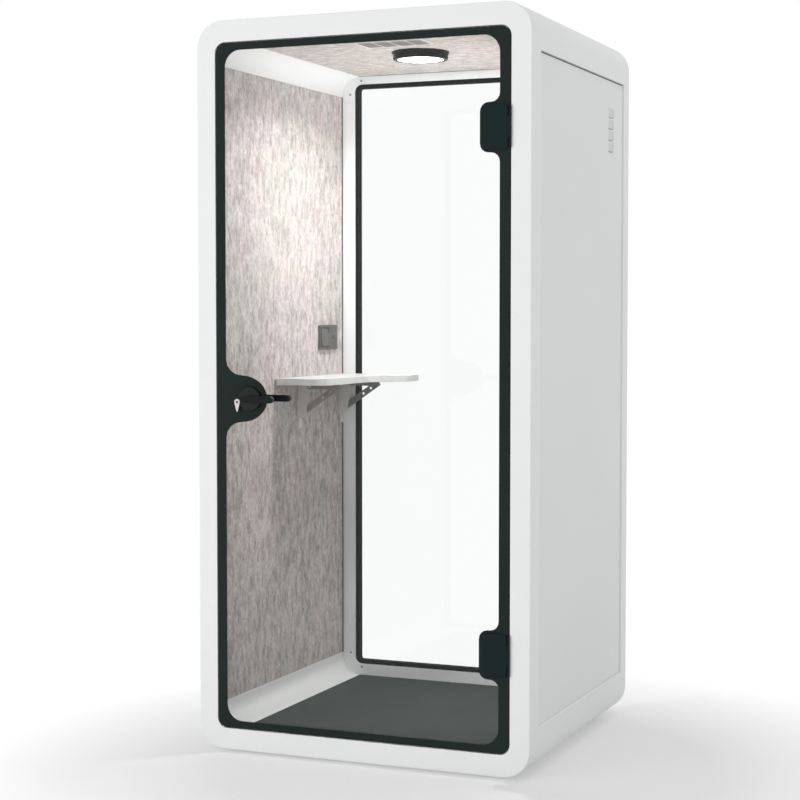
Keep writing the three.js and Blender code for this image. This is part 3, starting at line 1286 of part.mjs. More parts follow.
for (const [label, height] of [['lower', HINGE_LOW], ['upper', HINGE_HIGH]]) {
  door.add(piece(`hinge_plate_${label}`, hingePlate(height), 'dark_border'));
  door.add(piece(`hinge_clamp_${label}`, hingeClamp(height), 'dark_border'));
  door.add(piece(`hinge_leaf_${label}`, hingeLeaf(height), 'black_metal'));
  door.add(piece(`hinge_pin_${label}`, hingePin(height), 'steel'));
}

const lock = assembly(
  piece('outer_rose', outerRose(), 'black_metal'),
  piece('outer_lever', outerLever(), 'black_metal'),
  piece('inner_lever', innerLever(), 'black_metal'),
  piece('lock_case', lockCase(), 'black_metal'),
  piece('latch_bolt', latchBolt(), 'steel'),
  piece('strike_plate', strikePlate(), 'steel'),
  piece('lock_turn', lockTurn(), 'steel'),
);

const desk = assembly(piece('desk_top', deskTop(), 'white_laminate'));

const bracketPlaces = [
  ['front', DESK_FRONT + BRACKET_FRONT_INSET],
  ['rear', DESK_REAR - BRACKET_REAR_INSET],
];
for (const [label, y] of bracketPlaces) {
  desk.add(piece(`desk_leg_${label}`, deskLeg(y), 'pale_steel'));
  desk.add(piece(`desk_arm_${label}`, deskArm(y), 'grey_steel'));
  desk.add(piece(`desk_strut_${label}`, deskStrut(y), 'grey_steel'));
}

const services = assembly(
  piece('light_pan', lightPan(), 'dark_plastic'),
  piece('light_diffuser', lightDiffuser(), 'opal_plastic'),
  piece('ceiling_grille', ceilingGrille(), 'grey_plastic'),
  piece('fan_housing', fanHousing(), 'dark_plastic'),
  piece('fan_rotor', fanRotor(), 'dark_plastic'),
  piece('socket_plate', socketPlate(), 'grey_plastic'),
  switchRocker(),
);

// The pod stands on its feet, centred between its rear face and the tip of the lever
const pod = assembly(shell, rearWindow, door, lock, desk, services);
pod.position.set(0, LEVER_PROJECTION / 2, FOOT_HEIGHT);

export default pod;
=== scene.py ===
"""Looks for a single-seat acoustic office pod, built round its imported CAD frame."""

import json
import math

import bmesh
import bpy
from bpy.props import FloatProperty, FloatVectorProperty, PointerProperty
from mathutils import Matrix, Vector

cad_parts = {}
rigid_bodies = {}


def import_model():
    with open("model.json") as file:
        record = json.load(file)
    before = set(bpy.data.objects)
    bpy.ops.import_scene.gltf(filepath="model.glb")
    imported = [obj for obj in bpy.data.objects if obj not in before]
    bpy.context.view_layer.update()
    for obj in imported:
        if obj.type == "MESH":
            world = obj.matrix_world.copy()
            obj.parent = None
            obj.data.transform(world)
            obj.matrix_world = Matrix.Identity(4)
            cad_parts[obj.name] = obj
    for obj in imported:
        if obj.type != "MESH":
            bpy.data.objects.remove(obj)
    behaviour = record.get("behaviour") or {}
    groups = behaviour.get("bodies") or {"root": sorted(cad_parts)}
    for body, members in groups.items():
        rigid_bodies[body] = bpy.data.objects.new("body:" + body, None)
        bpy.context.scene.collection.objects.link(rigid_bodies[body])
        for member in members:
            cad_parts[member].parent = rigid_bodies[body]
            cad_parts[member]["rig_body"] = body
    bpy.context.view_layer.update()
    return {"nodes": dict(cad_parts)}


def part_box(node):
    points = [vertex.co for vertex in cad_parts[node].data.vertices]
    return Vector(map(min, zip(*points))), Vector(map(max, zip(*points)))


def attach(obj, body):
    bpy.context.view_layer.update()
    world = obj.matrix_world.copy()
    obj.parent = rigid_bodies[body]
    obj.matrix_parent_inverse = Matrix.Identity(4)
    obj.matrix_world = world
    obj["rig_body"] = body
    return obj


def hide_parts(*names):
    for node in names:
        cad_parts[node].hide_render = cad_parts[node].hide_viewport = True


bl_info = {
    "name": "Acoustic office pod",
    "version": (1, 0, 0),
    "blender": (4, 5, 0),
    "location": "3D view > Sidebar > Pod",
    "description": "Finishes the frame of an acoustic office pod and sets its stage",
    "category": "Object",
}

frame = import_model()
NODES = frame["nodes"]

SHARP = math.radians(30)  # an edge that turns more than this gets rounded
SMOOTH = math.radians(34)  # an edge that turns less than this is shaded smooth
FLAT = math.radians(0.5)  # faces that turn less than this are one face
WELD = 1e-5  # corners closer than this are one corner
STRAIGHT = 0.98  # least share of an edge's length along the axis that it runs along
FACING = 0.9  # least share of a face's normal along the axis that it looks along
LOUVRE_FACING = 0.8  # the same for the pressed faces of the louvres
NOISE_SPAN = (0.3, 0.7)  # where most of a noise's values lie
WHITE = (1, 1, 1)
RAIL_OUTSIDE = 0.5  # a corner rail's outer face lies further from the middle than this
CORNERS = ("lower_left", "lower_right", "upper_left", "upper_right")
SIDES = ("left", "right")
ENDS = ("front", "rear")
HEIGHTS = ("lower", "upper")

# Stretch of the felt's pattern along X, Y and Z: the smaller, the longer
WALL_FIBRE = (0.6, 0.53, 0.21)
CEILING_FIBRE = (0.21, 0.53, 0.6)

# Stretch of the marks on brushed, drawn and plain steel along X, Y and Z
BRUSHED = (1, 1, 0.15)
DRAWN = (1, 1, 0.1)
PLAIN = (1, 1, 1)

# Camera at the photograph's angle
CAMERA_PLACE = (2.2368, -5.5216, 1.3864)
CAMERA_TILT = math.radians(87.2)
CAMERA_PAN = math.radians(22.67)
CAMERA_LENS = 81.79
CAMERA_SENSOR = 36

# Strength of the white world, and what is added to it for each kind of ray
WORLD_LIGHT = 0.66
WORLD_ADDS = (
    ("Is Camera Ray", 0.34),
    ("Is Transmission Ray", 0.56),
    ("Is Glossy Ray", -0.22),
)

# Stage floor: shaded near the pod, fading to white
FLOOR_RADIUS = 9
FLOOR_SHADE_MIDDLE = (0.3, -0.35, 0)
FLOOR_SHADE_START = 0.75
FLOOR_SHADE_END = 1.5
FLOOR_GLOW = 0.25


# Sizes and colours that a user may change


def length(name, description, default):
    return FloatProperty(
        name=name, description=description, default=default, min=0, unit="LENGTH"
    )


def colour(name, description, default):
    return FloatVectorProperty(
        name=name,
        description=description,
        default=default,
        min=0,
        max=1,
        size=3,
        subtype="COLOR",
    )


class PodSizes(bpy.types.PropertyGroup):
    """Sizes of the small shapes that the looks add to the frame."""

    frame_round: length("Frame round", "Round on the frames' outer edges", 0.003)
    rebate_round: length("Rebate round", "Round on the door rebate's edges", 0.0012)
    seam_round: length("Seam round", "Round where two painted pieces meet", 0.00025)
    rail_round: length("Rail round", "Round along a corner rail's edges", 0.002)
    ledge_round: length("Ledge round", "Round on the ledge below an outer panel", 0.005)
    trim_round: length("Trim round", "Round on the window trim's edges", 0.0008)
    sheet_round: length("Sheet round", "Round on a sheet panel's edges", 0.0005)
    felt_round: length("Felt round", "Soft edge of a felt board", 0.002)
    felt_gap: length("Felt gap", "Dark strip between a felt board and the window", 0.008)
    # The dark strip in the felt gap is painted shadow of the gap before the window trim
    pile_round: length("Pile round", "Soft edge of the carpet", 0.003)
    bezel_round: length("Bezel round", "Round on the window bezel's edges", 0.0008)
    glass_round: length("Glass round", "Polished edge of a glass pane", 0.0008)
    lever_round: length("Lever round", "Round on a lever's edges", 0.003)
    fitting_round: length("Fitting round", "Round on hinges and lock", 0.001)
    board_round: length("Board round", "Round on the desk's edge band", 0.0012)
    steel_round: length("Steel round", "Round on bracket steel", 0.0004)
    plastic_round: length("Plastic round", "Round on plastic plates", 0.001)
    rubber_round: length("Rubber round", "Round on rubber pieces", 0.001)
    outline_band: length("Outline band", "Depth of a frame's outer edge", 0.035)
    louvre_depth: length("Louvre depth", "Least depth of a louvre's pressed face", 0.001)
    screw_radius: length("Screw radius", "Radius of a trim screw's head", 0.0042)
    side_screw_in: length("Side screw in", "Side screw to its corner's end", 0.0385)
    side_screw_low: length("Side screw low", "Side screw below an upper corner", 0.0713)
    side_screw_high: length("Side screw high", "Side screw above a lower corner", 0.0866)
    end_screw_in: length("End screw in", "End screw to its corner's end", 0.082)
    end_screw_low: length("End screw low", "End screw below an upper corner", 0.0245)
    end_screw_high: length("End screw high", "End screw above a lower corner", 0.038)
    # The lock turn's dark disc is painted shade in its hole
    hole_shade_radius: length("Insert radius", "Radius of the lock turn's insert", 0.0033)
    hole_shade_depth: length("Insert depth", "Thickness of the lock turn's insert", 0.001)
    hole_shade_sunk: length("Insert sunk", "Lock turn's face to its insert", 0.0016)
    lamp_flange: length("Lamp flange", "How far the lamp's flange stands out", 0.004)
    lamp_lip: length("Lamp lip", "Thickness of the lamp's flange", 0.006)
    lamp_rim: length("Lamp rim", "Round at the lamp's rim", 0.003)
    lamp_ease: length("Lamp ease", "Eased edges of the lamp's pan", 0.001)
    lamp_plate: length("Lamp plate", "Thickness of the lamp's back plate", 0.004)
    lamp_gap: length("Lamp gap", "Gap round the lamp's disc", 0.0003)
    lamp_disc: length("Lamp disc", "Thickness of the lamp's disc", 0.005)
    lamp_crown: length("Lamp crown", "How far the lamp's disc bulges", 0.002)
    lamp_groove: length("Lamp groove", "Depth of the groove round the lamp", 0.0015)
    grille_border: length("Grille border", "Plain border of the grille", 0.004)
    field_pitch: length("Field pitch", "Spacing of the grille's fields", 0.054)
    bar_pitch: length("Bar pitch", "Spacing of the grille's bars", 0.016)
    bar_length: length("Bar length", "Length of a grille bar", 0.045)
    bar_width: length("Bar width", "Width of a grille bar", 0.007)
    end_bar_width: length("End bar width", "Width of a field's first and last bar", 0.003)
    bar_rise: length("Bar rise", "How far the grille's bars stand proud", 0.0003)
    # Rocker line: painted shadow of the gap round the switch rocker
    rocker_line: length("Rocker line", "Width of the dark line round the rocker", 0.003)
    rocker_gap: length("Rocker gap", "Gap between the rocker and its dark line", 0.0006)
    line_rise: length("Line rise", "How far the dark line stands proud", 0.0002)
    inlay_depth: length("Inlay depth", "How deep a bar or a line is let in", 0.001)
    hair_round: length("Hair round", "Round on the finest bars and lines", 0.0001)


class PodColours(bpy.types.PropertyGroup):
    """Base colours of the finishes, in linear light."""

    paint: colour("Paint", "White coat on the frames and rails", (0.81, 0.82, 0.82))
    sheet: colour("Sheet", "White coat on the panels", (0.77, 0.78, 0.78))
    # Louvre: a darker copy of the sheet white, painted shade in the pressed louvres
    louvre: colour("Louvre", "Pressed faces of the louvres", (0.67, 0.67, 0.67))
    felt_ground: colour("Felt ground", "Main fibre of the felt", (0.60, 0.555, 0.528))
    felt_pale: colour("Felt pale", "Palest fibre of the felt", (0.84, 0.80, 0.755))
    felt_rose: colour("Felt rose", "Pinkish fibre of the felt", (0.655, 0.56, 0.555))
    felt_moss: colour("Felt moss", "Greenish fibre of the felt", (0.55, 0.543, 0.495))
    felt_dark: colour("Felt dark", "Darkest fibre of the felt", (0.22, 0.195, 0.185))
    carpet: colour("Carpet", "Carpet pile", (0.047, 0.060, 0.057))
    glass: colour("Glass", "Tint of the panes", (0.985, 0.995, 0.990))
    glass_edge: colour("Glass edge", "Tint at a pane's edge", (0.035, 0.055, 0.050))
    border: colour("Border", "Dark print on the door", (0.0135, 0.0225, 0.0200))
    hinge: colour("Hinge", "Hinge plates and clamps", (0.0098, 0.0195, 0.0200))
    bezel: colour("Bezel", "Window bezel", (0.005, 0.0075, 0.007))
    # Black also paints the shade in the lock turn's hole
    black: colour("Black", "Black coat on lock and levers", (0.008, 0.011, 0.0105))
    rubber: colour("Rubber", "Seal and feet", (0.012, 0.012, 0.012))
    steel: colour("Steel", "Bare steel", (0.66, 0.66, 0.64))
    plating: colour("Plating", "Lock turn", (0.80, 0.80, 0.79))
    screw: colour("Screw", "Trim screws", (0.2, 0.2, 0.2))
    pin: colour("Pin", "Blacked steel of the hinge pins", (0.03, 0.032, 0.032))
    laminate: colour("Laminate", "Desk faces", (0.70, 0.70, 0.69))
    edge_band: colour("Edge band", "Desk edge", (0.66, 0.67, 0.66))
    # Bracket: a darker copy of the arms' grey on the rear strut, painted shade; both struts
    # are one finish
    bracket: colour("Bracket", "Rear strut", (0.20, 0.20, 0.20))
    bracket_pale: colour("Pale bracket", "Arms and front strut", (0.29, 0.275, 0.255))
    bracket_leg: colour("Bracket leg", "Wall legs", (0.62, 0.61, 0.58))
    socket: colour("Socket", "Switch and socket plate", (0.100, 0.101, 0.092))
    grille: colour("Grille", "Ceiling grille", (0.66, 0.62, 0.60))
    grille_field: colour("Grille field", "Bars of the ceiling grille", (0.31, 0.29, 0.28))
    # The lamp body colour also paints the shadow line round the switch rocker
    lamp_body: colour("Lamp body", "Lamp pan and fan", (0.013, 0.014, 0.012))
    lamp_disc: colour("Lamp disc", "Opal disc of the lamp", (0.95, 0.95, 0.92))
    foam: colour("Foam", "Acoustic core", (0.26, 0.25, 0.23))
    board: colour("Board", "Floor deck", (0.20, 0.16, 0.12))
    floor: colour("Floor", "Stage floor", (0.565, 0.565, 0.565))


# Materials


def shaded(tint, share):
    """A tint made darker or paler, no paler than white."""
    return tuple(min(1, share * c) for c in tint)


class Recipe:
    """One material put together from shader nodes, in the object's own space."""

    def __init__(self, name):
        self.material = bpy.data.materials.new(name)
        self.material.use_nodes = True
        self.tree = self.material.node_tree
        self.tree.nodes.clear()
        self.output = self.add("ShaderNodeOutputMaterial")
        self.shader = self.add("ShaderNodeBsdfPrincipled")
        self.join(self.shader.outputs[0], self.output.inputs["Surface"])
        self.place = self.add("ShaderNodeTexCoord").outputs["Object"]

    def add(self, kind, **settings):
        node = self.tree.nodes.new(kind)
        for key, value in settings.items():
            setattr(node, key, value)
        return node

    def join(self, value, socket):
        if isinstance(value, bpy.types.NodeSocket):
            self.tree.links.new(value, socket)
        else:
            socket.default_value = value

    def set(self, **values):
        for key, value in values.items():
            self.join(value, self.shader.inputs[key.replace("_", " ")])
        return self

    def stretched(self, *scale):
        node = self.add("ShaderNodeMapping")
        self.join(self.place, node.inputs["Vector"])
        node.inputs["Scale"].default_value = scale
        return node.outputs[0]

    def noise(self, scale, detail, place=None, roughness=0.5):
        node = self.add("ShaderNodeTexNoise")
        self.join(place or self.place, node.inputs["Vector"])
        node.inputs["Scale"].default_value = scale
        node.inputs["Detail"].default_value = detail
        node.inputs["Roughness"].default_value = roughness
        return node.outputs["Fac"]

    def cells(self, scale, place=None):
        node = self.add("ShaderNodeTexVoronoi")
        self.join(place or self.place, node.inputs["Vector"])
        node.inputs["Scale"].default_value = scale
        return node.outputs["Distance"]

    def ramp(self, factor, *stops):
        node = self.add("ShaderNodeValToRGB")
        self.join(factor, node.inputs["Fac"])
        elements = node.color_ramp.elements
        while len(elements) < len(stops):
            elements.new(1)
        for element, (position, tint) in zip(elements, stops):
            element.position = position
            element.color = (*tint, 1)
        return node.outputs["Color"]

    def mixed(self, factor, first, second, mode="MIX"):
        node = self.add("ShaderNodeMix", data_type="RGBA", blend_type=mode)
        self.join(factor, node.inputs[0])
        for value, socket in ((first, node.inputs[6]), (second, node.inputs[7])):
            self.join((*value, 1) if not hasattr(value, "node") else value, socket)
        return node.outputs[2]

    def ranged(self, value, low, high, to_low, to_high):
        node = self.add("ShaderNodeMapRange")
        self.join(value, node.inputs["Value"])
        for name, number in zip(
            ("From Min", "From Max", "To Min", "To Max"), (low, high, to_low, to_high)
        ):
            node.inputs[name].default_value = number
        return node.outputs["Result"]

    def spread(self, noise, to_low, to_high):
        """A noise's usual values, spread between two others."""
        return self.ranged(noise, *NOISE_SPAN, to_low, to_high)

    def combined(self, first, second, operation="ADD"):
        node = self.add("ShaderNodeMath", operation=operation)
        self.join(first, node.inputs[0])
        self.join(second, node.inputs[1])
        return node.outputs[0]

    def toned(self, tint, change, scale):
        """The tint, a little darker and paler in slow patches."""
        low, high = NOISE_SPAN
        dark, pale = shaded(tint, 1 - change), shaded(tint, 1 + change)
        return self.ramp(self.noise(scale, detail=3), (low, dark), (high, pale))

    def bumped(self, height, strength, distance):
        node = self.add("ShaderNodeBump")
        self.join(height, node.inputs["Height"])
        node.inputs["Strength"].default_value = strength
        node.inputs["Distance"].default_value = distance
        self.join(node.outputs[0], self.shader.inputs["Normal"])
        return self


def coat(name, tint, roughness=0.42, grain=520, relief=0.0003, gloss=0.5):
    """Powder coat: slow tone, fine peel and an uneven sheen."""
    made = Recipe(name)
    peel = made.noise(grain, detail=2)
    uneven = made.noise(14, detail=4)
    made.set(
        Base_Color=made.toned(tint, change=0.012, scale=1.7),
        Roughness=made.spread(uneven, roughness - 0.05, roughness + 0.05),
        Specular_IOR_Level=gloss,
    )
    return made.bumped(peel, strength=0.12, distance=relief).material


def plastic(name, tint, roughness=0.5):
    """Moulded plastic with a fine spark-eroded grain."""
    made = Recipe(name)
    grain = made.noise(1400, detail=2)
    made.set(
        Base_Color=made.toned(tint, change=0.06, scale=30),
        Roughness=made.spread(grain, roughness - 0.06, roughness + 0.08),
    )
    return made.bumped(grain, strength=0.15, distance=0.0002).material


def metal(name, tint, roughness, along, metallic=1.0):
    """Bare steel, or a satin plating on it, brushed along one axis."""
    made = Recipe(name)
    brushed = made.noise(900, detail=3, place=made.stretched(*along))
    made.set(
        Base_Color=made.toned(tint, change=0.05, scale=60),
        Metallic=metallic,
        Roughness=made.ranged(brushed, 0.25, 0.75, roughness - 0.08, roughness + 0.1),
    )
    return made.bumped(brushed, strength=0.1, distance=0.0001).material


def rubber(name, tint):
    """Black rubber, dulled by dust."""
    made = Recipe(name)
    dust = made.noise(240, detail=4)
    made.set(
        Base_Color=made.toned(tint, change=0.3, scale=40),
        Roughness=made.spread(dust, 0.72, 0.95),
    )
    return made.bumped(dust, strength=0.2, distance=0.0003).material


def felt(name, tint, fibre):
    """Pressed wool of mixed fibres that lie along one axis, in short dashes."""
    made = Recipe(name)
    lying = made.stretched(*fibre)
    blunter = made.stretched(*(0.45 + 0.55 * f for f in fibre))
    dashes = made.noise(105, detail=3, place=lying, roughness=0.55)
    threads = made.noise(330, detail=3, place=lying, roughness=0.6)
    flecks = made.noise(120, detail=1.5, place=blunter)
    patches = made.noise(15, detail=2, place=lying)
    fuzz = made.noise(1600, detail=2)
    dark, ground, pale = tint.felt_dark, tint.felt_ground, tint.felt_pale
    body = made.ramp(dashes, (0.33, dark), (0.50, ground), (0.64, pale))
    moss, rose = tint.felt_moss, tint.felt_rose
    cast = made.ramp(patches, (0.36, moss), (0.50, ground), (0.62, rose))
    streaks = made.ramp(threads, (0.33, shaded(WHITE, 0.42)), (0.67, WHITE))
    mottled = made.mixed(0.5, body, cast)
    streaked = made.mixed(0.62, mottled, streaks, "MULTIPLY")
    fleck = made.ranged(flecks, 0.65, 0.73, 0.0, 0.6)
    made.set(
        Base_Color=made.mixed(fleck, streaked, tuple(dark)),
        Roughness=made.spread(fuzz, 0.88, 1.0),
        Specular_IOR_Level=0.15,
        Sheen_Weight=0.12,
        Sheen_Roughness=0.6,
    )
    relief = made.combined(dashes, made.combined(fuzz, 0.6, "MULTIPLY"))
    return made.bumped(relief, strength=0.35, distance=0.0008).material


def carpet(name, tint):
    """Short cut pile, in close tufts, with painted shade between them."""
    made = Recipe(name)
    tufts = made.cells(460)
    hairs = made.noise(900, detail=3)
    worn = made.toned(tint, change=0.12, scale=5)
    # Painted shade: darker between the tufts
    between = made.ranged(tufts, 0.15, 0.6, 0.0, 0.35)
    made.set(
        Base_Color=made.mixed(between, worn, shaded(tint, 0.5)),
        Roughness=made.spread(hairs, 0.9, 1.0),
        Specular_IOR_Level=0.1,
        Sheen_Weight=0.08,
    )
    relief = made.combined(made.combined(1.0, tufts, "SUBTRACT"), hairs)
    return made.bumped(relief, strength=0.4, distance=0.0008).material


def glass(name, tint):
    """Clear float glass with the faintest film on it."""
    made = Recipe(name)
    film = made.noise(9, detail=4)
    made.set(
        Base_Color=(*tint, 1),
        Roughness=made.ranged(film, 0.45, 0.8, 0.0, 0.03),
        IOR=1.3,
        Transmission_Weight=1.0,
    )
    return made.material


def glass_edge(name, tint):
    """The ground edge of a pane, green from the depth of glass behind it."""
    made = Recipe(name)
    ground = made.noise(700, detail=2)
    made.set(
        Base_Color=made.toned(tint, change=0.15, scale=20),
        Roughness=made.spread(ground, 0.15, 0.35),
    )
    return made.bumped(ground, strength=0.1, distance=0.0002).material


def print_film(name, tint):
    """Dark ceramic print, fired on to the glass."""
    made = Recipe(name)
    speckle = made.noise(1500, detail=2)
    cloud = made.noise(4, detail=3)
    fine, broad = made.spread(speckle, 0.32, 0.40), made.spread(cloud, -0.03, 0.05)
    made.set(
        Base_Color=made.toned(tint, change=0.12, scale=3),
        Roughness=made.combined(fine, broad),
        Specular_IOR_Level=0.15,
    )
    return made.bumped(speckle, strength=0.05, distance=0.0001).material


def laminate(name, tint):
    """White melamine with a fine pearl texture."""
    made = Recipe(name)
    pearl = made.noise(850, detail=3)
    made.set(
        Base_Color=made.toned(tint, change=0.012, scale=12),
        Roughness=made.spread(pearl, 0.32, 0.44),
    )
    return made.bumped(pearl, strength=0.12, distance=0.0002).material


def opal(name, tint, glow):
    """Lit opal plastic, faintly cloudy."""
    made = Recipe(name)
    swirl = made.noise(25, detail=2)
    lit = made.toned(tint, change=0.02, scale=40)
    made.set(
        Base_Color=lit,
        Roughness=made.spread(swirl, 0.4, 0.5),
        Emission_Color=lit,
        Emission_Strength=glow,
    )
    return made.material


def foam(name, tint):
    """Open acoustic foam, darker in its pores: painted shade."""
    made = Recipe(name)
    pores = made.cells(240)
    depth = made.ranged(pores, 0.1, 0.6, 0.0, 0.6)
    made.set(
        Base_Color=made.mixed(depth, tuple(tint), shaded(tint, 0.4)),
        Roughness=made.ranged(pores, 0.0, 0.7, 1.0, 0.85),
    )
    return made.bumped(pores, strength=0.5, distance=0.002).material


def chipboard(name, tint):
    """Pressed board of pale and dark chips."""
    made = Recipe(name)
    chips = made.cells(160, made.stretched(1, 0.5, 1))
    dark, pale = shaded(tint, 0.55), shaded(tint, 1.4)
    made.set(
        Base_Color=made.ramp(chips, (0.1, pale), (0.4, tuple(tint)), (0.75, dark)),
        Roughness=made.ranged(chips, 0.1, 0.7, 0.75, 0.95),
    )
    return made.bumped(chips, strength=0.3, distance=0.0006).material


# Shapes


def body_of(node):
    """The body that a CAD node moves with."""
    return NODES[node]["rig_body"]


def slot_of(node):
    """The record's material slot of a CAD node."""
    return NODES[node].data.materials[0].name.split(".")[0]


def centre(node):
    """The middle of a CAD node, seen from above."""
    low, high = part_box(node)
    return (low.x + high.x) / 2, (low.y + high.y) / 2


def shape_of(node):
    """A CAD node's shape with its triangles merged into whole faces."""
    shape = bmesh.new()
    shape.from_mesh(NODES[node].data)
    bmesh.ops.remove_doubles(shape, verts=shape.verts, dist=WELD)
    bmesh.ops.dissolve_limit(
        shape, angle_limit=FLAT, verts=shape.verts, edges=shape.edges
    )
    return shape


def rounded(shape, radius, segments=3, wanted=None):
    """Rounds the sharp outward edges, or those of them that are wanted."""
    shape.normal_update()
    edges = [
        edge
        for edge in shape.edges
        if len(edge.link_faces) == 2
        and edge.is_convex
        and edge.calc_face_angle(0) > SHARP
        and (wanted is None or wanted(edge))
    ]
    if not edges:
        raise RuntimeError("no edge to round")
    bmesh.ops.bevel(
        shape,
        geom=edges,
        offset=radius,
        offset_type="OFFSET",
        segments=segments,
        profile=0.5,
        affect="EDGES",
        clamp_overlap=True,
    )
    return shape


def middle(edge):
    return (edge.verts[0].co + edge.verts[1].co) / 2


def runs_along(edge, axis):
    way = edge.verts[1].co - edge.verts[0].co
    return abs(way[axis]) > STRAIGHT * way.length


def piece(name, shape, body, slot, *finishes):
    """Turns a shape into a smooth-shaded piece that moves with a body."""
    mesh = bpy.data.meshes.new(name)
    shape.normal_update()
    shape.to_mesh(mesh)
    shape.free()
    mesh.polygons.foreach_set("use_smooth", [True] * len(mesh.polygons))
    mesh.set_sharp_from_angle(angle=SMOOTH)
    for finish in finishes:
        mesh.materials.append(finish)
    made = bpy.data.objects.new(name, mesh)
    bpy.context.scene.collection.objects.link(made)
    evened = made.modifiers.new("Even shading", "WEIGHTED_NORMAL")
    evened.keep_sharp = True
    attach(made, body)
    return made


def finished(node, shape, *finishes):
    """The piece that stands for a CAD node."""
    made = piece(f"{node}_finished", shape, body_of(node), slot_of(node), *finishes)
    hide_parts(node)
    return made


def softened(node, radius, finish, segments=3):
    """A CAD node with its sharp edges rounded, in a finish."""
    return finished(node, rounded(shape_of(node), radius, segments), finish)


def turned(profile, segments):
    """A solid of revolution about Z from (radius, height) points, closed on the axis."""
    shape = bmesh.new()
    rings = []
    for radius, height in profile:
        ring = []
        for i in range(segments if radius else 1):
            turn = 2 * math.pi * i / segments
            place = (radius * math.cos(turn), radius * math.sin(turn), height)
            ring.append(shape.verts.new(place))
        rings.append(ring)
    for low, high in zip(rings, rings[1:]):
        for i in range(segments):
            j = (i + 1) % segments
            corners = [low[i % len(low)], low[j % len(low)]]
            corners += [high[j % len(high)], high[i % len(high)]]
            face = list(dict.fromkeys(corners))
            if len(face) > 2:
                shape.faces.new(face)
    bmesh.ops.recalc_face_normals(shape, faces=shape.faces)
    return shape


def slab(low, high):
    """A box between two corners."""
    shape = bmesh.new()
    bmesh.ops.create_cube(shape, size=1)
    for vert in shape.verts:
        vert.co = Vector(
            low[i] + (vert.co[i] + 0.5) * (high[i] - low[i]) for i in range(3)
        )
    return shape


def merged(shapes):
    """Several shapes as one."""
    whole = bmesh.new()
    for shape in shapes:
        part = bpy.data.meshes.new("part")
        shape.to_mesh(part)
        shape.free()
        whole.from_mesh(part)
        bpy.data.meshes.remove(part)
    return whole


def screw(place, facing, radius):
    """A countersunk screw's head with a cross recess, on a face that looks along facing."""
    sunk = 0.35 * radius
    head = turned(
        [
            (0, -sunk),
            (0.22 * radius, -sunk),
            (0.34 * radius, 0.12 * radius),
            (0.78 * radius, 0.10 * radius),
            (radius, 0.0),
            (radius, -0.3 * radius),
            (0, -0.5 * radius),
        ],
        segments=16,
    )
    turn = Vector((0, 0, 1)).rotation_difference(Vector(facing)).to_matrix().to_4x4()
    head.transform(Matrix.Translation(Vector(place)) @ turn)
    return head


def pane(node, size, tint):
    """A glass pane with green polished edges, which lets the lamps through."""
    shape = rounded(shape_of(node), size.glass_round, 2)
    clear = glass(f"{node}_clear", tint.glass)
    edge = glass_edge(f"{node}_edge", tint.glass_edge)
    made = finished(node, shape, clear, edge)
    for polygon in made.data.polygons:
        polygon.material_index = 0 if abs(polygon.normal.y) > FACING else 1
    made.visible_shadow = False
    return made


# Operators, one for each group of pieces


class PieceOperator(bpy.types.Operator):
    """Makes pieces of the pod."""

    bl_options = {"REGISTER"}

    def execute(self, context):
        self.make(context.scene.pod_sizes, context.scene.pod_colours)
        return {"FINISHED"}


class POD_OT_frames(PieceOperator):
    """Front and rear frames, with rounded outer edges and a softened door rebate"""

    bl_idname = "pod.frames"
    bl_label = "Frames"

    def make(self, size, tint):
        finish = coat("white_coat", tint.paint)
        for node, end in (("front_frame", 0), ("rear_frame", 1)):
            low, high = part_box(node)
            face = (low, high)[end].y

            def outer(edge):
                m, band = middle(edge), size.outline_band
                inside = abs(m.x) < high.x - band
                inside = inside and low.z + band < m.z < high.z - band
                return abs(m.y - face) < WELD and not inside

            def rebate(edge):
                return all(abs(v.co.y - face) < WELD for v in edge.verts)

            shape = rounded(shape_of(node), size.frame_round, 4, outer)
            shape = rounded(shape, size.rebate_round, 3, rebate)
            finished(node, rounded(shape, size.seam_round, 2), finish)


class POD_OT_rails(PieceOperator):
    """Corner rails between the frames"""

    bl_idname = "pod.rails"
    bl_label = "Corner rails"

    def make(self, size, tint):
        finish = coat("rail_coat", tint.paint)
        for corner in CORNERS:
            node = f"corner_rail_{corner}"
            low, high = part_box(node)
            shape = shape_of(node)

            def ledge(edge):
                m = middle(edge)
                outside = min(abs(m.x - low.x), abs(m.x - high.x)) < WELD
                outside = outside and abs(m.x) > RAIL_OUTSIDE
                return runs_along(edge, 1) and outside and abs(m.z - high.z) < WELD

            if "lower" in corner:
                shape = rounded(shape, size.ledge_round, 5, ledge)
            shape = rounded(shape, size.rail_round, 3, lambda edge: runs_along(edge, 1))
            finished(node, rounded(shape, size.seam_round, 2), finish)


class POD_OT_panels(PieceOperator):
    """Outer side panels, with the pressed louvres, and the roof"""

    bl_idname = "pod.panels"
    bl_label = "Outer panels"

    def make(self, size, tint):
        finish = coat("panel_coat", tint.sheet, roughness=0.46)
        for node in ("outer_panel_left", "roof_panel"):
            softened(node, size.sheet_round, finish, 2)
        # The pressed louvre faces get a darker copy of the panel coat: painted shade in the
        # recess
        pressed = coat("louvre_shade_coat", tint.louvre, roughness=0.46)
        shape = rounded(shape_of("outer_panel_right"), size.sheet_round, 2)
        panel = finished("outer_panel_right", shape, finish, pressed)
        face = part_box("outer_panel_right")[1].x - size.louvre_depth
        for polygon in panel.data.polygons:
            sunk = polygon.center.x < face and polygon.normal.x > LOUVRE_FACING
            polygon.material_index = 1 if sunk else 0


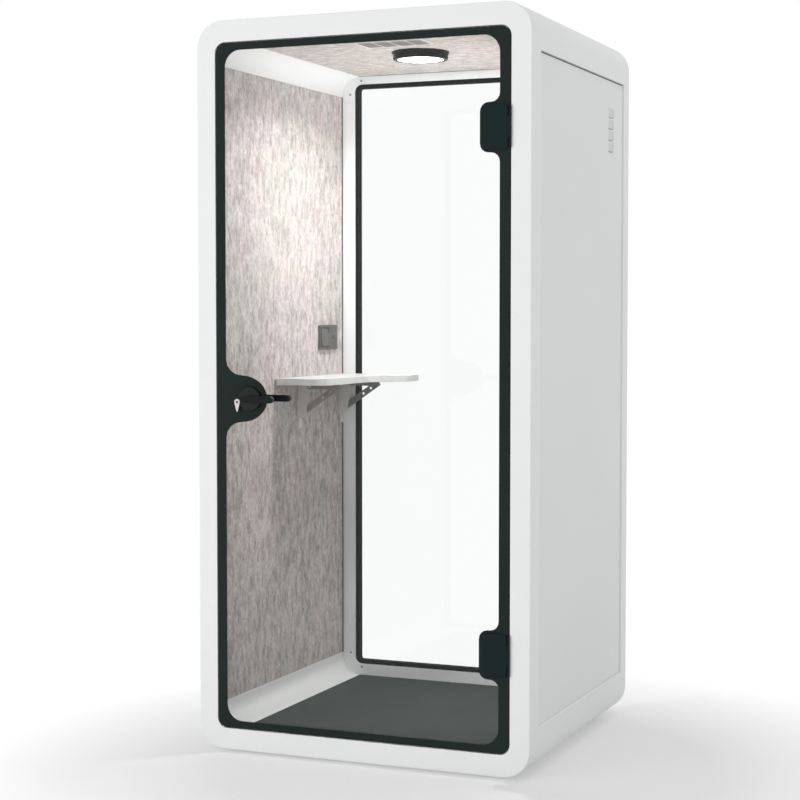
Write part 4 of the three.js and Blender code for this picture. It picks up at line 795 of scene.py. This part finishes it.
class POD_OT_linings(PieceOperator):
    """Felt boards on the walls and ceiling, and the carpet"""

    bl_idname = "pod.linings"
    bl_label = "Felt and carpet"

    def make(self, size, tint):
        upright = felt("wall_felt", tint, WALL_FIBRE)
        strips = []
        for side in SIDES:
            node = f"wall_felt_{side}"
            low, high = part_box(node)
            strips.append(slab((low.x, high.y - size.felt_gap, low.z), high))
            high.y -= size.felt_gap
            finished(node, rounded(slab(low, high), size.felt_round, 4), upright)
        low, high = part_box("ceiling_felt")
        strips.append(slab((low.x, high.y - size.felt_gap, low.z), high))
        shape = shape_of("ceiling_felt")
        for vert in shape.verts:
            if vert.co.y > high.y - WELD:
                vert.co.y -= size.felt_gap
        lying = felt("ceiling_felt", tint, CEILING_FIBRE)
        finished("ceiling_felt", rounded(shape, size.felt_round, 4), lying)
        softened("floor_carpet", size.pile_round, carpet("carpet_pile", tint.carpet), 4)
        # The strips are painted shadow: dark rubber standing for the shade in the gap by the
        # window trim
        gap_shade = rubber("shadow_strip_rubber", tint.rubber)
        shape = rounded(merged(strips), size.seam_round, 2)
        piece("felt_edging", shape, "pod", "black_rubber", gap_shade)


class POD_OT_window(PieceOperator):
    """Rear window: white trim with corner plates and screws, black bezel and glass"""

    bl_idname = "pod.window"
    bl_label = "Rear window"

    def make(self, size, tint):
        softened("window_trim", size.trim_round, coat("trim_coat", tint.paint))
        plate_white = coat("plate_coat", tint.sheet, roughness=0.38)
        heads = []
        for corner in CORNERS:
            node = f"trim_corner_{corner}"
            softened(node, size.steel_round, plate_white, 2)
            for place in self.screw_places(node, size):
                heads.append(screw(place, (0, -1, 0), size.screw_radius))
        steel = metal("screw_steel", tint.screw, roughness=0.35, along=PLAIN)
        piece("trim_screws", merged(heads), "pod", "bright_steel", steel)
        bezel = coat(
            "bezel_coat", tint.bezel, roughness=0.55, grain=900, relief=0.0001, gloss=0.05
        )
        softened("window_bezel", size.bezel_round, bezel)
        pane("window_glass", size, tint)

    def screw_places(self, node, size):
        """The two screws of a trim corner: one on its side arm, one on its end arm."""
        low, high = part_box(node)
        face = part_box("trim_corner_lower_left")[0].y
        for inward, below, above in (
            (size.side_screw_in, size.side_screw_low, size.side_screw_high),
            (size.end_screw_in, size.end_screw_low, size.end_screw_high),
        ):
            x = high.x - inward if "right" in node else low.x + inward
            z = high.z - below if "upper" in node else low.z + above
            yield x, face, z


class POD_OT_door(PieceOperator):
    """Door glass, its dark border and its seal"""

    bl_idname = "pod.door"
    bl_label = "Door"

    def make(self, size, tint):
        pane("door_glass", size, tint)
        border = print_film("border_print", tint.border)
        finished("door_border", shape_of("door_border"), border)
        softened("door_seal", size.rubber_round, rubber("seal_rubber", tint.rubber))


class POD_OT_hinges(PieceOperator):
    """Hinge plates, clamps, leaves and pins"""

    bl_idname = "pod.hinges"
    bl_label = "Hinges"

    def make(self, size, tint):
        fine = {"roughness": 0.4, "grain": 900, "relief": 0.0002}
        dark = coat("hinge_coat", tint.hinge, gloss=0.12, **fine)
        black = coat("leaf_coat", tint.black, gloss=0.25, **fine)
        steel = metal("pin_steel", tint.pin, roughness=0.45, along=DRAWN)
        for height in HEIGHTS:
            softened(f"hinge_plate_{height}", size.fitting_round, dark)
            softened(f"hinge_clamp_{height}", size.fitting_round, dark)
            softened(f"hinge_leaf_{height}", size.steel_round, black, 2)
            softened(f"hinge_pin_{height}", size.steel_round, steel, 2)


class POD_OT_lock(PieceOperator):
    """Rose, levers, lock case, latch, strike and lock turn"""

    bl_idname = "pod.lock"
    bl_label = "Lock"

    def make(self, size, tint):
        fine = {"grain": 1100, "relief": 0.00015}
        black = coat("lock_coat", tint.black, roughness=0.38, gloss=0.25, **fine)
        rose = coat("rose_coat", tint.border, roughness=0.34, gloss=0.3, **fine)
        steel = metal("lock_steel", tint.steel, roughness=0.26, along=BRUSHED)
        plated = metal(
            "turn_plating", tint.plating, roughness=0.34, along=BRUSHED, metallic=0.4
        )
        softened("outer_rose", size.fitting_round, rose)
        softened("lock_case", size.fitting_round, black)
        for node in ("outer_lever", "inner_lever"):
            softened(node, size.lever_round, black, 4)
        for node in ("latch_bolt", "strike_plate"):
            softened(node, size.steel_round, steel, 2)
        softened("lock_turn", size.fitting_round, plated)
        self.turn_hole_shade(size, black)

    def turn_hole_shade(self, size, finish):
        """The small dark disc at the bottom of the hole in the lock turn's round head:
        painted shade.
        """
        low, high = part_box("lock_turn")
        half = (high.x - low.x) / 2
        radius, depth = size.hole_shade_radius, size.hole_shade_depth
        disc = turned([(0, 0), (radius, 0), (radius, depth), (0, depth)], segments=24)
        place = (low.x + half, low.y + size.hole_shade_sunk, high.z - half)
        upright = Matrix.Rotation(math.radians(-90), 4, "X")
        disc.transform(Matrix.Translation(place) @ upright)
        piece("turn_hole_shade", disc, body_of("lock_turn"), slot_of("outer_rose"), finish)


class POD_OT_desk(PieceOperator):
    """Desk top with its edge band, and the folding brackets"""

    bl_idname = "pod.desk"
    bl_label = "Desk"

    def make(self, size, tint):
        faces = laminate("desk_melamine", tint.laminate)
        band = plastic("desk_edge_band", tint.edge_band, roughness=0.45)
        shape = rounded(shape_of("desk_top"), size.board_round)
        top = finished("desk_top", shape, faces, band)
        for polygon in top.data.polygons:
            polygon.material_index = 0 if abs(polygon.normal.z) > FACING else 1
        fine = {"roughness": 0.45, "grain": 700, "relief": 0.0002}
        leg = coat("leg_coat", tint.bracket_leg, **fine)
        pale = coat("arm_coat", tint.bracket_pale, gloss=0.3, **fine)
        # The rear strut gets a darker copy of the arms' coat: painted shade
        grey = coat("strut_coat", tint.bracket, gloss=0.3, **fine)
        for end, strut in zip(ENDS, (pale, grey)):
            softened(f"desk_leg_{end}", size.steel_round, leg, 2)
            softened(f"desk_arm_{end}", size.steel_round, pale, 2)
            softened(f"desk_strut_{end}", size.steel_round, strut, 2)


class POD_OT_light(PieceOperator):
    """Ceiling light: dark pan and lit opal disc"""

    bl_idname = "pod.light"
    bl_label = "Ceiling light"

    def make(self, size, tint):
        self.pan(size, tint)
        self.disc(size, tint)

    def pan(self, size, tint):
        """The dark pan: a flange, a groove below it and a rim round the disc."""
        low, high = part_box("light_pan")
        flange, tall = (high.x - low.x) / 2, high.z - low.z
        body, groove = flange - size.lamp_flange, size.lamp_groove
        lip, rim, ease = size.lamp_lip, size.lamp_rim, size.lamp_ease
        inner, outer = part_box("light_diffuser")
        hole = (outer.x - inner.x) / 2 + size.lamp_gap
        shape = turned(
            [
                (0, tall),
                (flange, tall),
                (flange, tall - lip + ease),
                (flange - ease, tall - lip),
                (body - groove, tall - lip),
                (body - groove, tall - lip - rim),
                (body, tall - lip - rim - groove),
                (body, rim),
                (body - ease, ease),
                (body - rim, 0),
                (hole + ease, 0),
                (hole, ease),
                (hole, tall - size.lamp_plate),
                (0, tall - size.lamp_plate),
            ],
            segments=64,
        )
        shape.transform(Matrix.Translation((*centre("light_pan"), low.z)))
        finish = coat(
            "lamp_coat", tint.lamp_body, roughness=0.42, grain=1400, relief=0.0002, gloss=0.15
        )
        finished("light_pan", shape, finish)

    def disc(self, size, tint):
        """The lit disc, which bulges a little downwards."""
        low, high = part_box("light_diffuser")
        radius, thickness = (high.x - low.x) / 2, size.lamp_disc
        steps = 10
        bulge = [
            (radius * i / steps, -size.lamp_crown * (1 - (i / steps) ** 2))
            for i in range(steps + 1)
        ]
        shape = turned([*bulge, (radius, thickness), (0, thickness)], segments=64)
        shape.transform(Matrix.Translation((*centre("light_pan"), low.z)))
        finished("light_diffuser", shape, opal("lamp_opal", tint.lamp_disc, glow=6.0))


class POD_OT_vent(PieceOperator):
    """Ceiling grille and the fan above it"""

    bl_idname = "pod.vent"
    bl_label = "Grille and fan"

    def make(self, size, tint):
        pale = plastic("grille_plastic", tint.grille)
        field = plastic("grille_field_plastic", tint.grille_field)
        low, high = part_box("ceiling_grille")
        border = size.grille_border
        shape = rounded(shape_of("ceiling_grille"), size.steel_round, 2)
        plate = finished("ceiling_grille", shape, pale, field)
        for polygon in plate.data.polygons:
            inside = low.x + border < polygon.center.x < high.x - border
            inside = inside and low.y + border < polygon.center.y < high.y - border
            upright = abs(polygon.normal.z) < 0.5
            polygon.material_index = 1 if inside and upright else 0
        shape = rounded(merged(self.bars(size, low.z)), size.hair_round, 1)
        piece("grille_bars", shape, "pod", "grey_plastic", field)
        dark = plastic("fan_plastic", tint.lamp_body, roughness=0.55)
        for node in ("fan_housing", "fan_rotor"):
            softened(node, size.steel_round, dark, 1)

    def bars(self, size, face):
        """Four fields of seven bars, with a narrow bar at each end of a field."""
        middle_x, middle_y = centre("ceiling_grille")
        reach = size.bar_length / 2
        made = []
        for column in (-1.5, -0.5, 0.5, 1.5):
            for row in range(-3, 4):
                x = middle_x + size.field_pitch * column
                y = middle_y + size.bar_pitch * row
                half = (size.bar_width if abs(row) < 3 else size.end_bar_width) / 2
                start = (x - reach, y - half, face - size.bar_rise)
                made.append(slab(start, (x + reach, y + half, face + size.inlay_depth)))
        return made


class POD_OT_socket(PieceOperator):
    """Switch and socket plate on the left wall"""

    bl_idname = "pod.socket"
    bl_label = "Switch and socket"

    def make(self, size, tint):
        grey = plastic("socket_plastic", tint.socket, roughness=0.46)
        softened("socket_plate", size.plastic_round, grey)
        softened("switch_rocker", size.plastic_round, grey)
        # A dark line round the rocker: painted shadow of its gap
        dark = plastic("rocker_shadow_plastic", tint.lamp_body, roughness=0.6)
        shape = rounded(merged(self.outline(size)), size.hair_round, 1)
        piece("rocker_shadow_line", shape, "pod", "dark_plastic", dark)

    def outline(self, size):
        """The four sides of the dark line round the rocker, painted shadow of the gap round
        it.
        """
        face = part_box("socket_plate")[1].x
        low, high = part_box("switch_rocker")
        gap, line = size.rocker_gap, size.rocker_line
        start, end = low.y - gap, high.y + gap
        foot, head = low.z - gap, high.z + gap
        back, front = face - size.inlay_depth, face + size.line_rise
        return [
            slab((back, start - line, foot - line), (front, start, head + line)),
            slab((back, end, foot - line), (front, end + line, head + line)),
            slab((back, start, foot - line), (front, end, foot)),
            slab((back, start, head), (front, end, head + line)),
        ]


class POD_OT_feet(PieceOperator):
    """Levelling feet"""

    bl_idname = "pod.feet"
    bl_label = "Levelling feet"

    def make(self, size, tint):
        finish = rubber("foot_rubber", tint.rubber)
        for end in ENDS:
            for side in SIDES:
                softened(f"foot_{end}_{side}", size.rubber_round, finish)


class POD_OT_cores(PieceOperator):
    """Acoustic cores and floor deck inside the shell"""

    bl_idname = "pod.cores"
    bl_label = "Cores and deck"

    def make(self, size, tint):
        porous = foam("core_foam", tint.foam)
        for node in ("acoustic_core_left", "acoustic_core_right", "ceiling_core"):
            softened(node, size.rail_round, porous, 2)
        softened("floor_deck", size.rail_round, chipboard("deck_board", tint.board), 2)


class POD_OT_stage(PieceOperator):
    """Pale floor, soft studio light and the camera"""

    bl_idname = "pod.stage"
    bl_label = "Stage"

    def make(self, size, tint):
        self.floor(tint)
        self.world()
        self.studio_lamps()
        self.cabin_lamps()
        self.camera()

    def floor(self, tint):
        """A pale disc, shaded near the pod and plain white further off."""
        made = Recipe("stage_floor")
        reach = made.add("ShaderNodeVectorMath", operation="DISTANCE")
        made.join(made.place, reach.inputs[0])
        made.join(FLOOR_SHADE_MIDDLE, reach.inputs[1])
        away = reach.outputs["Value"]
        fade = made.ranged(away, FLOOR_SHADE_START, FLOOR_SHADE_END, 0.0, 1.0)
        grain = made.noise(180, detail=3)
        made.set(
            Base_Color=made.toned(tint.floor, change=0.006, scale=2),
            Roughness=made.spread(grain, 0.6, 0.75),
            Specular_IOR_Level=0.2,
            Emission_Color=(*WHITE, 1),
            Emission_Strength=FLOOR_GLOW,
        )
        white = made.add("ShaderNodeEmission")
        blend = made.add("ShaderNodeMixShader")
        made.join(fade, blend.inputs[0])
        made.join(made.shader.outputs[0], blend.inputs[1])
        made.join(white.outputs[0], blend.inputs[2])
        made.join(blend.outputs[0], made.output.inputs["Surface"])
        shape = bmesh.new()
        bmesh.ops.create_circle(shape, cap_ends=True, radius=FLOOR_RADIUS, segments=96)
        mesh = bpy.data.meshes.new("stage_floor")
        shape.to_mesh(mesh)
        shape.free()
        mesh.materials.append(made.material)
        ground = bpy.data.objects.new("stage_floor", mesh)
        bpy.context.scene.collection.objects.link(ground)
        ground.visible_glossy = False

    def world(self):
        """White to the eye and through the panes, softer as a light and in reflections."""
        scene = bpy.context.scene
        scene.view_settings.view_transform = "Standard"
        scene.world = bpy.data.worlds.new("studio")
        scene.world.use_nodes = True
        tree = scene.world.node_tree
        tree.nodes.clear()
        path = tree.nodes.new("ShaderNodeLightPath")
        sky = tree.nodes.new("ShaderNodeBackground")
        sky.inputs["Color"].default_value = (*WHITE, 1)
        out = tree.nodes.new("ShaderNodeOutputWorld")
        tree.links.new(sky.outputs[0], out.inputs["Surface"])
        total = None
        for ray, change in WORLD_ADDS:
            step = tree.nodes.new("ShaderNodeMath")
            step.operation = "MULTIPLY_ADD"
            step.inputs[1].default_value = change
            step.inputs[2].default_value = WORLD_LIGHT
            tree.links.new(path.outputs[ray], step.inputs[0])
            if total:
                tree.links.new(total, step.inputs[2])
            total = step.outputs[0]
        tree.links.new(total, sky.inputs["Strength"])

    def lamp(self, name, place, target, width, power, spread=180, shape="SQUARE"):
        data = bpy.data.lights.new(name, "AREA")
        data.shape = shape
        data.size = width
        data.energy = power
        data.spread = math.radians(spread)
        made = bpy.data.objects.new(name, data)
        made.location = place
        aim = Vector(target) - Vector(place)
        made.rotation_euler = aim.to_track_quat("-Z", "Y").to_euler()
        bpy.context.scene.collection.objects.link(made)
        return made

    def unseen(self, lamp):
        """Keeps a lamp itself out of sight, of the panes and of reflections."""
        lamp.visible_camera = False
        lamp.visible_transmission = False
        lamp.visible_glossy = False

    def studio_lamps(self):
        """A broad key from the front left, and weak lights on the right side and the roof."""
        key = self.lamp(
            "Key", place=(-6.4, -9.2, 2.4), target=(0, 0, 1.0), width=6.0, power=430
        )
        self.unseen(key)
        self.lamp("Side", place=(4.6, 0.6, 0.4), target=(0.5, 0, 0.2), width=2.0, power=7)
        self.lamp("Top", place=(1.2, 1.0, 4.5), target=(0.5, 0.2, 2.2), width=2.0, power=26)

    def cabin_lamps(self):
        """The ceiling light, and soft fills that stand for light thrown about the cabin."""
        x, y = centre("light_pan")
        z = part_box("light_pan")[0].z - 0.004
        for name, place, target, width, power, spread in (
            ("Ceiling lamp", (x, y, z), (x, y, 0), 0.14, 8.8, 150),
            ("Cabin fill", (0.25, -0.1, 1.2), (-0.1, 0.2, 2.3), 0.5, 4.0, 110),
            ("Rear fill", (0.1, -0.4, 1.5), (-0.2, 0.46, 1.7), 0.6, 1.5, 100),
            ("Low fill", (0.2, -0.3, 0.4), (-0.1, 0.46, 0.1), 0.4, 0.42, 180),
        ):
            self.unseen(self.lamp(name, place, target, width, power, spread, "DISK"))

    def camera(self):
        data = bpy.data.cameras.new("Camera")
        data.sensor_width = CAMERA_SENSOR
        data.sensor_fit = "HORIZONTAL"
        data.lens = CAMERA_LENS
        made = bpy.data.objects.new("Camera", data)
        made.location = CAMERA_PLACE
        made.rotation_euler = (CAMERA_TILT, 0, CAMERA_PAN)
        bpy.context.scene.collection.objects.link(made)
        bpy.context.scene.camera = made


OPERATORS = (
    POD_OT_frames,
    POD_OT_rails,
    POD_OT_panels,
    POD_OT_linings,
    POD_OT_window,
    POD_OT_door,
    POD_OT_hinges,
    POD_OT_lock,
    POD_OT_desk,
    POD_OT_light,
    POD_OT_vent,
    POD_OT_socket,
    POD_OT_feet,
    POD_OT_cores,
    POD_OT_stage,
)


class POD_PT_panel(bpy.types.Panel):
    """Lists the pod's pieces and their sizes and colours."""

    bl_label = "Acoustic office pod"
    bl_idname = "POD_PT_panel"
    bl_space_type = "VIEW_3D"
    bl_region_type = "UI"
    bl_category = "Pod"

    def draw(self, context):
        for operator in OPERATORS:
            self.layout.operator(operator.bl_idname)
        for group in (context.scene.pod_sizes, context.scene.pod_colours):
            column = self.layout.column()
            for name in group.__annotations__:
                column.prop(group, name)


CLASSES = (PodSizes, PodColours, *OPERATORS, POD_PT_panel)


def register():
    for made in CLASSES:
        bpy.utils.register_class(made)
    bpy.types.Scene.pod_sizes = PointerProperty(type=PodSizes)
    bpy.types.Scene.pod_colours = PointerProperty(type=PodColours)


def unregister():
    del bpy.types.Scene.pod_colours
    del bpy.types.Scene.pod_sizes
    for made in reversed(CLASSES):
        bpy.utils.unregister_class(made)


def main():
    register()
    for operator in OPERATORS:
        group, name = operator.bl_idname.split(".")
        getattr(getattr(bpy.ops, group), name)()


if __name__ == "__main__":
    main()
